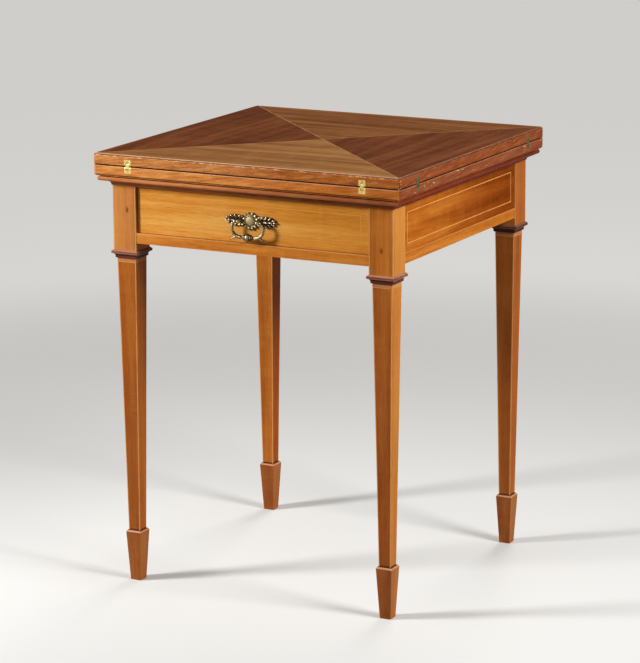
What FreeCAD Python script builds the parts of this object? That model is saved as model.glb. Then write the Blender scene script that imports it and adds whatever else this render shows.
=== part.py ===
import FreeCAD, Part
import math
import os
import Sketcher
from FreeCAD import Placement, Rotation, Vector

# Driving dimensions in millimetres, degrees for turns and plain numbers for shares and counts.
# Front is -Y, right is +X, the floor is Z = 0 and the origin is the centre of the plan.
SIZES = {
    # whole table
    "table_height": 735,
    "top_width": 560,
    "frame_inset": 23,
    "frieze_height": 103.5,
    "overrun": 5,
    # folding top
    "leaf_thick": 18,
    "leaf_gap": 1.2,
    "mitre_gap": 0.6,
    "bed_thick": 18,
    "joint_round": 1.5,
    "edge_round": 2.5,
    "edge_step": 1.5,
    "edge_inset": 3,
    "plan_round": 6,
    # cloth linings
    "baize_thick": 1.2,
    "baize_recess": 0.75,
    "baize_hinge_border": 16,
    "baize_outer_border": 38,
    # card-table hinges
    "hinge_corner_gap": 66,
    "hinge_plate_width": 12,
    "hinge_plate_height": 10.5,
    "hinge_plate_depth": 6.5,
    "hinge_pin_depth": 2.5,
    "hinge_pin_radius": 1,
    "hinge_eye_radius": 2.1,
    "hinge_link_width": 6.8,
    "hinge_clearance": 0.3,
    "running_clearance": 0.05,
    # swivel
    "swivel_turn": 45,
    "spindle_radius": 8,
    "spindle_end_radius": 5,
    "flange_radius": 32,
    "flange_thick": 3,
    "flange_screw_reach": 23,
    "screw_head_radius": 3.4,
    "screw_shank_radius": 1.7,
    "screw_length": 13,
    "washer_radius": 18,
    "washer_thick": 2,
    "nut_radius": 9.8,
    "nut_thick": 6,
    "thread_stand": 1.5,
    "swivel_play": 0.2,
    "peg_radius": 4,
    "peg_reach": 120,
    "peg_hold": 10,
    "peg_drop": 6,
    "slot_clearance": 0.3,
    "slot_depth": 5.3,
    "glide_thick": 1.5,
    "glide_radius": 12,
    "glide_edge_gap": 39,
    "glide_inner_share": 0.66,
    "bearer_width": 90,
    # sub-top and cornice
    "subtop_inset": 5,
    "subtop_thick": 7.8,
    "subtop_edge_flat": 0.8,
    "cove_reach": 7.5,
    "cove_radius": 6,
    "cove_fillet_height": 1,
    # legs
    "stile_width": 43,
    "stile_drop": 13,
    "neck_width": 35,
    "ankle_width": 21,
    "collar_height": 14,
    "collar_lip_reach": 3.3,
    "collar_lip_height": 4,
    "collar_slope_height": 2.5,
    "collar_cove_radius": 5,
    "foot_height": 88,
    "foot_top_width": 28.5,
    "foot_sole_width": 19,
    "foot_ledge_width": 24,
    "foot_ledge_height": 3,
    "foot_tenon_width": 11,
    "foot_tenon_length": 40,
    # rails and aprons
    "lower_rail_height": 17,
    "lower_rail_depth": 40,
    "top_rail_height": 8.5,
    "rail_set_back": 0.5,
    "apron_set_back": 2.5,
    "apron_thick": 16,
    "tenon_length": 20,
    "tenon_thick": 8,
    "tenon_set_back": 7,
    "tenon_shoulder": 3,
    "apron_tenon_shoulder": 14,
    "rail_tenon_depth": 24,
    # drawer and what carries it
    "drawer_set_back": 5,
    "drawer_side_clearance": 1.5,
    "drawer_edge_clearance": 1,
    "drawer_front_thick": 19,
    "drawer_side_thick": 9,
    "drawer_side_drop": 3,
    "drawer_back_drop": 21,
    "drawer_back_thick": 8,
    "drawer_back_gap": 38.5,
    "drawer_bottom_thick": 4,
    "drawer_bottom_rise": 6,
    "drawer_groove_depth": 4,
    "dovetail_length": 13,
    "dovetail_flare": 2.2,
    "dovetail_count": 3,
    "dovetail_width_share": 0.55,
    "runner_width": 24,
    "guide_height": 13,
    "guide_drop": 10,
    "stop_width": 34,
    "stop_length": 14,
    "stop_height": 4.5,
    "stop_reach": 70,
    # stringing
    "string_width": 1.5,
    "string_depth": 1,
    "string_collar_gap": 6,
    "apron_string_inset": 13,
    "drawer_string_inset": 14,
    # handle
    "handle_drop": 1.5,
    "roundel_radius": 12,
    "roundel_thick": 2.6,
    "lobe_radius": 2.4,
    "lobe_thick": 2.2,
    "lobe_count": 12,
    "button_radius": 8.2,
    "button_height": 2,
    "button_dome": 3.4,
    "arm_half_length": 50,
    "arm_half_height": 3.2,
    "arm_thick": 2.2,
    "leaflet_count": 3,
    "leaflet_first_reach": 22,
    "leaflet_pitch": 7.4,
    "leaflet_rise": 5,
    "leaflet_radius": 4.5,
    "leaflet_taper_share": 0.12,
    "tip_length": 9,
    "tip_root_radius": 3.1,
    "tip_end_radius": 0.4,
    "post_reach": 17.5,
    "post_seat_radius": 5.6,
    "post_seat_thick": 3.2,
    "post_neck_radius": 2.6,
    "post_head_radius": 3.2,
    "post_stand_off": 13,
    "post_shank_radius": 2.2,
    "handle_nut_radius": 5,
    "handle_nut_thick": 3,
    "bail_radius": 2,
    "bail_drop": 25,
    "bail_bow_radius": 14.1,
    "bail_eye_radius": 2.5,
    "bail_pin_radius": 1.4,
    "bail_clearance": 0.3,
    "knop_radius": 5.2,
    "knop_half_length": 4.6,
    "knop_collar_radius": 3.8,
    "knop_collar_width": 1.8,
    "scroll_reach": 15,
    "scroll_radius": 2.8,
    "spur_set_angle": 55,
    "spur_slope": 45,
    "spur_length": 12,
    "spur_root_radius": 1.9,
    "spur_tip_radius": 0.6,
    "spur_ball_radius": 0.95,
}

doc = FreeCAD.newDocument("games_table")
sheet = doc.addObject("Spreadsheet::Sheet", "dims")
for row, (alias, number) in enumerate(SIZES.items(), start=1):
    sheet.set(f"A{row}", str(number))
    sheet.setAlias(f"A{row}", alias)
doc.recompute()

SQUARE_SIDES = ("front", "right", "back", "left")
ROOT_TWO = math.sqrt(2)
NODES = []


class Size:
    """A size that carries its spreadsheet expression beside its present value."""

    def __init__(self, text, value):
        self.text = text
        self.value = value

    def join(self, sign, other, value):
        return Size(f"({self.text} {sign} {as_size(other).text})", value)

    def __add__(self, other):
        return self.join("+", other, self.value + as_size(other).value)

    def __sub__(self, other):
        return self.join("-", other, self.value - as_size(other).value)

    def __mul__(self, other):
        return self.join("*", other, self.value * as_size(other).value)

    def __truediv__(self, other):
        return self.join("/", other, self.value / as_size(other).value)

    def __radd__(self, other):
        return as_size(other) + self

    def __rsub__(self, other):
        return as_size(other) - self

    def __rmul__(self, other):
        return as_size(other) * self

    def __neg__(self):
        return Size(f"(0 - {self.text})", -self.value)


def as_size(number):
    """A plain number taken as a size, so that both kinds add up."""
    return number if isinstance(number, Size) else Size(repr(number), number)


def dim(alias):
    """The named cell of the sheet as a size."""
    return Size(f"dims.{alias}", float(sheet.get(alias)))


def cosine(angle):
    """The cosine of an angle that the sheet holds in degrees."""
    return Size(f"cos({angle.text} * 1 deg)", math.cos(math.radians(angle.value)))


def sine(angle):
    """The sine of an angle that the sheet holds in degrees."""
    return Size(f"sin({angle.text} * 1 deg)", math.sin(math.radians(angle.value)))


def root(size):
    """The square root of a size."""
    return Size(f"sqrt({size.text})", math.sqrt(size.value))


# Levels and half-widths that several pieces share.
top_half = dim("top_width") / 2
frame_half = top_half - dim("frame_inset")
subtop_half = top_half - dim("subtop_inset")
stile_half = dim("stile_width") / 2
stile_inner = frame_half - dim("stile_width")
stile_centre = frame_half - stile_half
leaf_top = dim("table_height")
leaf_bottom = leaf_top - dim("leaf_thick")
bed_top = leaf_bottom - dim("leaf_gap")
bed_bottom = bed_top - dim("bed_thick")
subtop_top = bed_bottom - dim("glide_thick")
frame_top = subtop_top - dim("subtop_thick")
rail_bottom = frame_top - dim("frieze_height")
rail_top = rail_bottom + dim("lower_rail_height")
opening_top = frame_top - dim("top_rail_height")
collar_top = rail_bottom - dim("stile_drop")
collar_bottom = collar_top - dim("collar_height")
foot_top = dim("foot_height")
apron_face = frame_half - dim("apron_set_back")
apron_inner = apron_face - dim("apron_thick")
rail_face = frame_half - dim("rail_set_back")
drawer_face = frame_half - dim("drawer_set_back")
drawer_half = stile_inner - dim("drawer_side_clearance")
drawer_shoulder = drawer_face - dim("drawer_front_thick")
handle_level = (rail_top + opening_top) / 2 - dim("handle_drop")
pivot_depth = drawer_face + dim("post_stand_off")
shoulder_level = opening_top - dim("swivel_play")


def bind(target, **sizes):
    """Tie properties of an object to sizes."""
    for name, size in sizes.items():
        target.setExpression(name, as_size(size).text)
    return target


def place(target, x=0, y=0, z=0, turn=None):
    """Put an object at a point whose coordinates follow the sheet."""
    target.Placement = Placement(Vector(), turn or Rotation())
    for axis, size in zip("xyz", (x, y, z)):
        target.setExpression(f"Placement.Base.{axis}", as_size(size).text)
    return target


def turned(target, quarter):
    """Turn a piece made for the front to another side of the square."""
    target.Placement = Placement(Vector(), Rotation(Vector(0, 0, 1), 90 * quarter))
    return target


def box(name, x, y, z):
    """A block between two coordinates on each axis."""
    block = doc.addObject("Part::Box", name)
    bind(block, Length=x[1] - x[0], Width=y[1] - y[0], Height=z[1] - z[0])
    return place(block, x[0], y[0], z[0])


AXIS_TURNS = {
    "x": Rotation(Vector(0, 1, 0), 90),
    "y": Rotation(Vector(1, 0, 0), -90),
    "z": Rotation(),
}


def cylinder(name, axis, start, length, radius):
    """A round bar from a start point along an axis."""
    bar = doc.addObject("Part::Cylinder", name)
    bind(bar, Radius=radius, Height=length)
    return place(bar, *start, turn=AXIS_TURNS[axis])


def sphere(name, centre, radius):
    """A ball round a point, with its seam turned to the back."""
    ball = doc.addObject("Part::Sphere", name)
    bind(ball, Radius=radius)
    return place(ball, *centre, turn=Rotation(Vector(0, 0, 1), 90))


def gather(kind, name, pieces):
    """A boolean of several pieces, or the piece itself when there is one."""
    if len(pieces) == 1:
        return pieces[0]
    result = doc.addObject(kind, name)
    result.Shapes = pieces
    return result


def fuse(name, *pieces):
    """One solid from several."""
    result = gather("Part::MultiFuse", name, list(pieces))
    result.Refine = True
    return result


def common(name, *pieces):
    """What several pieces share."""
    return gather("Part::MultiCommon", name, list(pieces))


def cut(name, base, *tools):
    """A piece with the room of others taken out of it."""
    result = doc.addObject("Part::Cut", name)
    result.Base = base
    result.Tool = gather("Part::MultiFuse", f"{name}_room", list(tools))
    return result


def group(name, *pieces):
    """Separate solids kept as one node."""
    result = doc.addObject("Part::Compound", name)
    result.Links = list(pieces)
    return result


def node(label, piece):
    """Register a finished sub-part under the name of its file."""
    piece.Label = label
    NODES.append(piece)
    return piece


def new_body(name):
    return doc.addObject("PartDesign::Body", name)


def plane_of(body, role):
    """One of the body's own origin planes."""
    return next(item for item in body.Origin.OriginFeatures if item.Role == role)


def new_sketch(body, role, name, offset=0):
    """An empty sketch on an origin plane of its body, lifted by an offset."""
    sketch = body.newObject("Sketcher::SketchObject", name)
    sketch.AttachmentSupport = [(plane_of(body, role), "")]
    sketch.MapMode = "FlatFace"
    if isinstance(offset, Size):
        sketch.setExpression("AttachmentOffset.Base.z", offset.text)
    return sketch


def arc_between(start, end, radius, turn):
    """The short arc from start to end, turning left for +1 and right for -1."""
    chord = end - start
    middle = (start + end) / 2
    rise = math.sqrt(max(radius ** 2 - (chord.Length / 2) ** 2, 0))
    left = Vector(-chord.y, chord.x, 0) / chord.Length
    centre = middle + left * (rise * turn)
    first, last = (start, end) if turn > 0 else (end, start)
    angles = [math.atan2(point.y - centre.y, point.x - centre.x) for point in (first, last)]
    return Part.ArcOfCircle(Part.Circle(centre, Vector(0, 0, 1), radius), *angles)


def dimension(sketch, size, kind, *where):
    """A sketch constraint tied to a size."""
    index = sketch.addConstraint(Sketcher.Constraint(kind, *where, as_size(size).value))
    if isinstance(size, Size):
        sketch.renameConstraint(index, f"size_{index}")
        sketch.setExpression(f"Constraints.size_{index}", size.text)


def outline(body, role, name, points, offset=0, closed=True):
    """A sketch through points (x, y) or (x, y, radius, turn), the last two for an arc that ends there."""
    sketch = new_sketch(body, role, name, offset)
    spots = [Vector(as_size(point[0]).value, as_size(point[1]).value, 0) for point in points]
    order = list(range(1, len(points))) + ([0] if closed else [])
    ends = []
    for index in order:
        start, end, rest = spots[index - 1], spots[index], points[index][2:]
        if rest:
            edge = sketch.addGeometry(arc_between(start, end, as_size(rest[0]).value, rest[1]))
            ends.append((edge, 1, 2) if rest[1] > 0 else (edge, 2, 1))
            dimension(sketch, rest[0], "Radius", edge)
        else:
            ends.append((sketch.addGeometry(Part.LineSegment(start, end)), 1, 2))
    for before, after in zip(ends, ends[1:] + (ends[:1] if closed else [])):
        sketch.addConstraint(Sketcher.Constraint("Coincident", before[0], before[2], after[0], after[1]))
    for index, (edge, first, last) in zip(order, ends):
        dimension(sketch, points[index][0], "DistanceX", -1, 1, edge, last)
        dimension(sketch, points[index][1], "DistanceY", -1, 1, edge, last)
    if not closed:
        dimension(sketch, points[0][0], "DistanceX", -1, 1, ends[0][0], ends[0][1])
        dimension(sketch, points[0][1], "DistanceY", -1, 1, ends[0][0], ends[0][1])
    return sketch


def pad(body, sketch, length, symmetric=False):
    """A sketch drawn out to a length, from its plane or to both sides of it."""
    feature = body.newObject("PartDesign::Pad", "pad")
    feature.Profile = sketch
    if symmetric:
        feature.SideType = "Symmetric"
    return bind(feature, Length=length)


def bar_along(axis, name, points, length):
    """A section in (y, z) drawn out along X, or in (x, z) along Y, to both sides of the middle."""
    body = new_body(name)
    role = {"x": "YZ_Plane", "y": "XZ_Plane"}[axis]
    pad(body, outline(body, role, f"{name}_section", points), length, symmetric=True)
    return body


def mirrored_outline(right_side):
    """A full section from its right side, listed from bottom to top."""
    left_side = []
    flipped = list(reversed(right_side))
    for index, point in enumerate(flipped):
        arc = flipped[index - 1][2:] if index else ()
        left_side.append((-point[0], point[1], *arc))
    return [right_side[0][:2]] + list(right_side[1:]) + left_side


def square_moulding(name, right_side, width):
    """A square piece whose four edges carry one moulded section, mitred at the corners."""
    points = mirrored_outline(right_side)
    return common(name, *(bar_along(axis, f"{name}_{axis}", points, width) for axis in "xy"))


def prism(name, points, low, high):
    """A plan outline drawn up between two levels."""
    body = new_body(name)
    pad(body, outline(body, "XY_Plane", f"{name}_plan", points), high - low)
    return place(body, z=low)


def front_wedge(name, half, low, high, gap=0):
    """The front quarter of the square plan, less half a mitre gap on each diagonal."""
    tip = gap * (ROOT_TWO / 2)
    return prism(name, [(0, -tip), (-half, -half - tip), (half, -half - tip)], low, high)


def square(body, name, half, level):
    """A square section at a level of an upright piece."""
    points = [(-half, -half), (half, -half), (half, half), (-half, half)]
    return outline(body, "XY_Plane", name, points, offset=level)


def loft(body, sections):
    """A straight-sided run through square sections."""
    feature = body.newObject("PartDesign::AdditiveLoft", "loft")
    feature.Profile = sections[0]
    feature.Sections = sections[1:]
    feature.Ruled = True
    return feature


def rounded_plan(name, half, low, high):
    """The square plan of the top with its upright corners eased."""
    body = new_body(name)
    corners = [(-half, -half), (half, -half), (half, half), (-half, half)]
    block = pad(body, outline(body, "XY_Plane", f"{name}_plan", corners), high - low)
    doc.recompute()
    upright = [
        f"Edge{number}"
        for number, edge in enumerate(block.Shape.Edges, start=1)
        if abs(edge.Vertexes[0].Z - edge.Vertexes[-1].Z) > (high - low).value / 2
    ]
    ease = body.newObject("PartDesign::Fillet", "ease")
    ease.Base = (block, upright)
    bind(ease, Radius=dim("plan_round"))
    return place(body, z=low)


# Folding top

hinge_centres = (-(top_half - dim("hinge_corner_gap")), top_half - dim("hinge_corner_gap"))
notch = dim("hinge_pin_depth") + dim("hinge_eye_radius") + dim("hinge_clearance")
pin_line = top_half - dim("hinge_pin_depth")
bed_pin_level = bed_top - dim("hinge_pin_depth")
leaf_pin_level = leaf_bottom + dim("hinge_pin_depth")


def hinge_room(name, levels):
    """The recesses for the two hinge plates of the front edge."""
    half = dim("hinge_plate_width") / 2
    back = dim("hinge_plate_depth") - top_half
    front = -top_half - dim("overrun")
    return [box(f"{name}_{index}", (spot - half, spot + half), (front, back), levels)
            for index, spot in enumerate(hinge_centres)]


def hinge_plates(name, points, notch_levels, pin_level):
    """Two plates for the front edge, each cut away for the link and drilled for its pin."""
    half_slot = dim("hinge_link_width") / 2 + dim("hinge_clearance") / 2
    half = dim("hinge_plate_width") / 2
    plates = []
    for index, spot in enumerate(hinge_centres):
        body = place(bar_along("x", f"{name}_block", points, dim("hinge_plate_width")), x=spot)
        slot = box(f"{name}_slot", (spot - half_slot, spot + half_slot),
                   (-top_half - dim("overrun"), notch - top_half), notch_levels)
        bore = cylinder(f"{name}_bore", "x", (spot - half, -pin_line, pin_level), half * 2,
                        dim("hinge_pin_radius"))
        plates.append(cut(f"{name}_{index}", body, slot, bore))
    return plates


def hinge_pins(name, level):
    """The two pins at one end of the front links."""
    half = dim("hinge_plate_width") / 2
    return [cylinder(f"{name}_{index}", "x", (spot - half, -pin_line, level), half * 2,
                     dim("hinge_pin_radius"))
            for index, spot in enumerate(hinge_centres)]


def bed_plate_points():
    """Section of a bed plate, rounded about its pin."""
    face, depth = -top_half, dim("hinge_plate_depth") - top_half
    low, pin = bed_top - dim("hinge_plate_height"), dim("hinge_pin_depth")
    return [(face, bed_top - pin, pin, 1), (face, low), (depth, low), (depth, bed_top),
            (pin - top_half, bed_top)]


def leaf_plate_points():
    """Section of a leaf plate, rounded about its pin."""
    face, depth = -top_half, dim("hinge_plate_depth") - top_half
    high, pin = leaf_bottom + dim("hinge_plate_height"), dim("hinge_pin_depth")
    return [(pin - top_half, leaf_bottom, pin, 1), (depth, leaf_bottom), (depth, high), (face, high),
            (face, leaf_bottom + pin)]


def hinge_links(name):
    """The two double-eyed links of the front edge."""
    half = dim("hinge_link_width") / 2
    eye = dim("hinge_eye_radius")
    span = leaf_pin_level - bed_pin_level
    links = []
    for index, spot in enumerate(hinge_centres):
        body = new_body(f"{name}_{index}")
        points = [(-eye, 0), (eye, 0), (eye, span), (-eye, span)]
        web = outline(body, "YZ_Plane", f"{name}_web", points)
        pad(body, web, half * 2, symmetric=True)
        for level in (0, span):
            ring = new_sketch(body, "YZ_Plane", f"{name}_eye")
            centre = Vector(0, as_size(level).value, 0)
            circle = ring.addGeometry(Part.Circle(centre, Vector(0, 0, 1), eye.value))
            dimension(ring, eye, "Radius", circle)
            dimension(ring, 0, "DistanceX", -1, 1, circle, 3)
            dimension(ring, level, "DistanceY", -1, 1, circle, 3)
            pad(body, ring, half * 2, symmetric=True)
        place(body, spot, -pin_line, bed_pin_level)
        bores = [
            cylinder(f"{name}_bore", "x", (spot - half - dim("overrun"), -pin_line, level),
                     (half + dim("overrun")) * 2, dim("hinge_pin_radius") + dim("running_clearance"))
            for level in (bed_pin_level, leaf_pin_level)
        ]
        links.append(cut(f"{name}_link_{index}", body, *bores))
    return links


def leaf_section():
    """Section of a leaf from its hinged edge to the middle of the table."""
    step = leaf_top - dim("edge_step")
    ease, arris = dim("joint_round"), dim("edge_round")
    return [
        (ease - top_half, leaf_bottom, ease, 1),
        (0, leaf_bottom),
        (0, leaf_top),
        (dim("edge_inset") - top_half, leaf_top),
        (dim("edge_inset") - top_half, step),
        (arris - top_half, step),
        (-top_half, step - arris, arris, 1),
        (-top_half, leaf_bottom + ease),
    ]


def leaf_baize(name):
    """The cloth of a leaf, clear of the hinge side and of the two outer edges."""
    edge = top_half - dim("baize_hinge_border")
    tip = dim("baize_outer_border") * ROOT_TWO
    high = leaf_bottom + dim("baize_recess")
    corners = [(0, -tip), (tip - edge, -edge), (edge - tip, -edge)]
    return prism(name, corners, high - dim("baize_thick"), high)


def make_leaf(side, quarter):
    """One triangular leaf with its cloth, hinge plates, pins and links."""
    name = f"leaf_{side}"
    low, high = leaf_bottom - dim("overrun"), leaf_top + dim("overrun")
    blank = common(
        f"{name}_blank",
        bar_along("x", f"{name}_edge", leaf_section(), dim("top_width")),
        front_wedge(f"{name}_wedge", top_half + dim("overrun"), low, high, gap=dim("mitre_gap")),
        rounded_plan(f"{name}_plan", top_half, low, high),
    )
    cloth = leaf_baize(f"{name}_cloth")
    levels = (leaf_bottom - dim("overrun"), leaf_bottom + dim("hinge_plate_height"))
    panel = cut(f"{name}_panel", blank, cloth, *hinge_room(f"{name}_room", levels))
    notch_levels = (leaf_bottom - dim("overrun"), leaf_bottom + notch)
    plates = hinge_plates(f"{name}_plate", leaf_plate_points(), notch_levels, leaf_pin_level)
    pins = hinge_pins(f"{name}_pin", leaf_pin_level)
    links = hinge_links(f"{name}_links")
    cloth_copy = leaf_baize(f"{name}_lining")
    node(name, turned(panel, quarter))
    cloth_group = group(f"{name}_cloth_group", cloth_copy)
    node(f"{name}_baize", turned(cloth_group, quarter))
    node(f"{name}_hinge_plates", turned(group(f"{name}_plates", *plates), quarter))
    node(f"{name}_hinge_pins", turned(group(f"{name}_pins", *pins), quarter))
    node(f"hinge_links_{side}", turned(group(f"{name}_link_group", *links), quarter))


def make_bed():
    """The square bed with its cloth, the lower hinge halves and the seats of the swivel."""
    step = bed_bottom + dim("edge_step")
    arris, ease = dim("edge_round"), dim("joint_round")
    right_side = [
        (top_half - dim("edge_inset"), bed_bottom),
        (top_half - dim("edge_inset"), step),
        (top_half - arris, step),
        (top_half, step + arris, arris, 1),
        (top_half, bed_top - ease),
        (top_half - ease, bed_top, ease, 1),
    ]
    low, high = bed_bottom - dim("overrun"), bed_top + dim("overrun")
    blank = common("bed_blank", square_moulding("bed_moulded", right_side, dim("top_width")),
                   rounded_plan("bed_plan", top_half, low, high))
    levels = (bed_top - dim("hinge_plate_height"), bed_top + dim("overrun"))
    notch_levels = (bed_top - notch, bed_top + dim("overrun"))
    rooms, plates, pins = [], [], []
    for quarter, side in enumerate(SQUARE_SIDES):
        room = group(f"bed_rooms_{side}", *hinge_room(f"bed_room_{side}", levels))
        rooms.append(turned(room, quarter))
        made = hinge_plates(f"bed_plate_{side}", bed_plate_points(), notch_levels, bed_pin_level)
        plates.append(turned(group(f"bed_plates_{side}", *made), quarter))
        pair = group(f"bed_pins_{side}", *hinge_pins(f"bed_pin_{side}", bed_pin_level))
        pins.append(turned(pair, quarter))
    edge = top_half - dim("baize_hinge_border")
    low = bed_top - dim("baize_recess")
    lining = box("bed_cloth", (-edge, edge), (-edge, edge), (low, low + dim("baize_thick")))
    cloth = node("bed_baize", lining)
    plate, screws, peg = make_swivel()
    node("bed_panel", cut("bed", blank, cloth, *rooms, plate, screws, peg))
    node("bed_hinge_plates", group("bed_plates", *plates))
    node("bed_hinge_pins", group("bed_pins", *pins))


def turned_piece(name, points):
    """A piece turned about the upright axis of the table."""
    body = new_body(name)
    profile = outline(body, "XZ_Plane", f"{name}_profile", points)
    feature = body.newObject("PartDesign::Revolution", "turning")
    feature.Profile = profile
    feature.ReferenceAxis = (profile, ["V_Axis"])
    feature.Angle = 360
    return body


def screw(name, x, y, level):
    """A countersunk wood screw driven up from a level."""
    head, shank, length = dim("screw_head_radius"), dim("screw_shank_radius"), dim("screw_length")
    points = [(0, 0), (head, 0), (shank, head - shank), (shank, length - shank), (0, length)]
    body = turned_piece(name, points)
    return place(body, x, y, level)


def make_swivel():
    """Spindle plate, its screws, washer and nut, and the peg that limits the turn."""
    flange_top = bed_bottom + dim("flange_thick")
    washer_bottom = shoulder_level - dim("washer_thick")
    nut_bottom = washer_bottom - dim("nut_thick")
    end = nut_bottom - dim("thread_stand")
    spindle = turned_piece("spindle", [
        (0, end), (dim("spindle_end_radius"), end), (dim("spindle_end_radius"), shoulder_level),
        (dim("spindle_radius"), shoulder_level), (dim("spindle_radius"), bed_bottom),
        (dim("flange_radius"), bed_bottom), (dim("flange_radius"), flange_top), (0, flange_top),
    ])
    reach = dim("flange_screw_reach")
    spots = ((reach, 0), (0, reach), (-reach, 0), (0, -reach))
    screws = group("flange_screws", *(screw(f"flange_screw_{index}", x, y, bed_bottom)
                                      for index, (x, y) in enumerate(spots)))
    plate = node("pivot_plate", cut("pivot_flange", spindle, screws))
    node("pivot_screws", screws)
    disc = cylinder("washer_disc", "z", (0, 0, washer_bottom), dim("washer_thick"), dim("washer_radius"))
    hole = cylinder("washer_hole", "z", (0, 0, washer_bottom - dim("overrun")),
                    dim("washer_thick") + dim("overrun") * 2, dim("spindle_end_radius"))
    node("pivot_washer", cut("washer", disc, hole))
    hexagon = place(doc.addObject("Part::Prism", "nut_hexagon"), z=nut_bottom)
    hexagon.Polygon = 6
    bind(hexagon, Circumradius=dim("nut_radius"), Height=dim("nut_thick"))
    bore = cylinder("nut_bore", "z", (0, 0, nut_bottom - dim("overrun")),
                    dim("nut_thick") + dim("overrun") * 2, dim("spindle_end_radius"))
    node("pivot_nut", cut("nut", hexagon, bore))
    peg = cylinder("peg", "z", (dim("peg_reach"), 0, bed_bottom - dim("peg_drop")),
                   dim("peg_drop") + dim("peg_hold"), dim("peg_radius"))
    return plate, screws, node("stop_peg", peg)


# Frame

def make_subtop(bearer):
    """The fixed board under the bed, with the spindle hole and the arc slot for the peg."""
    half, low, high = subtop_half, frame_top, subtop_top
    ease = (dim("subtop_thick") - dim("subtop_edge_flat")) / 2
    board = square_moulding("subtop_board", [
        (half - ease, low), (half, low + ease, ease, 1), (half, high - ease), (half - ease, high, ease, 1),
    ], half * 2)
    slot_half = dim("peg_radius") + dim("slot_clearance")
    floor = high - dim("slot_depth") - dim("glide_thick")
    height = high + dim("overrun") - floor
    reach = dim("peg_reach")
    outer = cylinder("slot_outer", "z", (0, 0, floor), height, reach + slot_half)
    inner = cylinder("slot_inner", "z", (0, 0, floor), height, reach - slot_half)
    bind(outer, Angle=dim("swivel_turn"))
    sector = cut("slot_sector", outer, inner)
    turn = dim("swivel_turn")
    spots = ((reach, 0), (reach * cosine(turn), reach * sine(turn)))
    ends = [cylinder(f"slot_end_{index}", "z", (x, y, floor), height, slot_half)
            for index, (x, y) in enumerate(spots)]
    node("sub_top", cut("subtop", board, sector, *ends, spindle_hole("subtop_hole")))
    node("pivot_bearer", cut("bearer", bearer, spindle_hole("bearer_hole")))


def spindle_hole(name):
    """The running hole of the spindle through the sub-top and its bearer."""
    low = opening_top - dim("overrun")
    return cylinder(name, "z", (0, 0, low), subtop_top + dim("overrun") - low,
                    dim("spindle_radius") + dim("running_clearance"))


def make_glides():
    """Eight pads on the sub-top that the bed and the open leaves slide on."""
    pads = []
    outer = subtop_half - dim("glide_edge_gap")
    for ring, along in (("inner", outer * dim("glide_inner_share")), ("outer", outer)):
        for x, y in ((along, along), (-along, along), (-along, -along), (along, -along)):
            pads.append(cylinder(f"glide_{ring}", "z", (x, y, subtop_top), dim("glide_thick"),
                                 dim("glide_radius")))
    node("glide_pads", group("glides", *pads))


def make_cornice():
    """Four mitred lengths of cove under the edge of the sub-top."""
    fillet = dim("cove_fillet_height")
    foot_reach = frame_half + dim("cove_reach") - dim("cove_radius")
    outer = frame_half + dim("cove_reach")
    section = [
        (-frame_half, opening_top),
        (-frame_half, frame_top),
        (-outer, frame_top),
        (-outer, opening_top + fillet + dim("cove_radius")),
        (-foot_reach, opening_top + fillet, dim("cove_radius"), -1),
        (-foot_reach, opening_top),
    ]
    lengths = []
    for quarter, side in enumerate(SQUARE_SIDES):
        bar = bar_along("x", f"cove_{side}", section, outer * 2)
        wedge = front_wedge(f"cove_wedge_{side}", outer + dim("overrun"), opening_top - dim("overrun"),
                            frame_top + dim("overrun"))
        lengths.append(turned(common(f"cove_length_{side}", bar, wedge), quarter))
    node("cornice_moulding", group("cornice", *lengths))


def with_tenons(name, board, y, z):
    """A rail between two stiles with a tenon on each end."""
    reach = stile_inner + dim("tenon_length")
    return fuse(name, board, box(f"{name}_tenon", (-reach, reach), y, z))


def make_aprons():
    """Side and back aprons, the strip below each, and their stringing."""
    tenon_y = (dim("tenon_set_back") - frame_half,
               dim("tenon_set_back") + dim("tenon_thick") - frame_half)
    inset = dim("apron_string_inset")
    aprons, strips, strings = [], [], []
    for quarter, side in list(enumerate(SQUARE_SIDES))[1:]:
        board = box(f"apron_board_{side}", (-stile_inner, stile_inner), (-apron_face, -apron_inner),
                    (rail_top, frame_top))
        shoulder = dim("apron_tenon_shoulder")
        tenon_z = (rail_top + shoulder, frame_top - shoulder)
        blank = with_tenons(f"apron_blank_{side}", board, tenon_y, tenon_z)
        lines = string_frame(f"apron_line_{side}", stile_inner - inset, -apron_face,
                             (rail_top + inset, opening_top - inset))
        aprons.append(node(f"apron_{side}", turned(cut(f"apron_piece_{side}", blank, lines), quarter)))
        strings.append(turned(group(f"apron_lines_{side}", lines), quarter))
        strip = box(f"strip_board_{side}", (-stile_inner, stile_inner), (-rail_face, -apron_inner),
                    (rail_bottom, rail_top))
        strips.append(turned(with_tenons(
            f"strip_{side}", strip, tenon_y,
            (rail_bottom + dim("tenon_shoulder"), rail_top - dim("tenon_shoulder"))), quarter))
    node("apron_edge_strips", group("strips", *strips))
    node("apron_stringing", group("apron_strings", *strings))
    return aprons + strips


def string_frame(name, half, face, levels):
    """A rectangle of stringing let into a face that looks to the front."""
    wide, deep, past = dim("string_width"), dim("string_depth"), dim("overrun")
    outer = box(f"{name}_outer", (-half, half), (face, face + deep), levels)
    inner = box(f"{name}_inner", (wide - half, half - wide), (face - past, face + past),
                (levels[0] + wide, levels[1] - wide))
    return cut(name, outer, inner)


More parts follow.
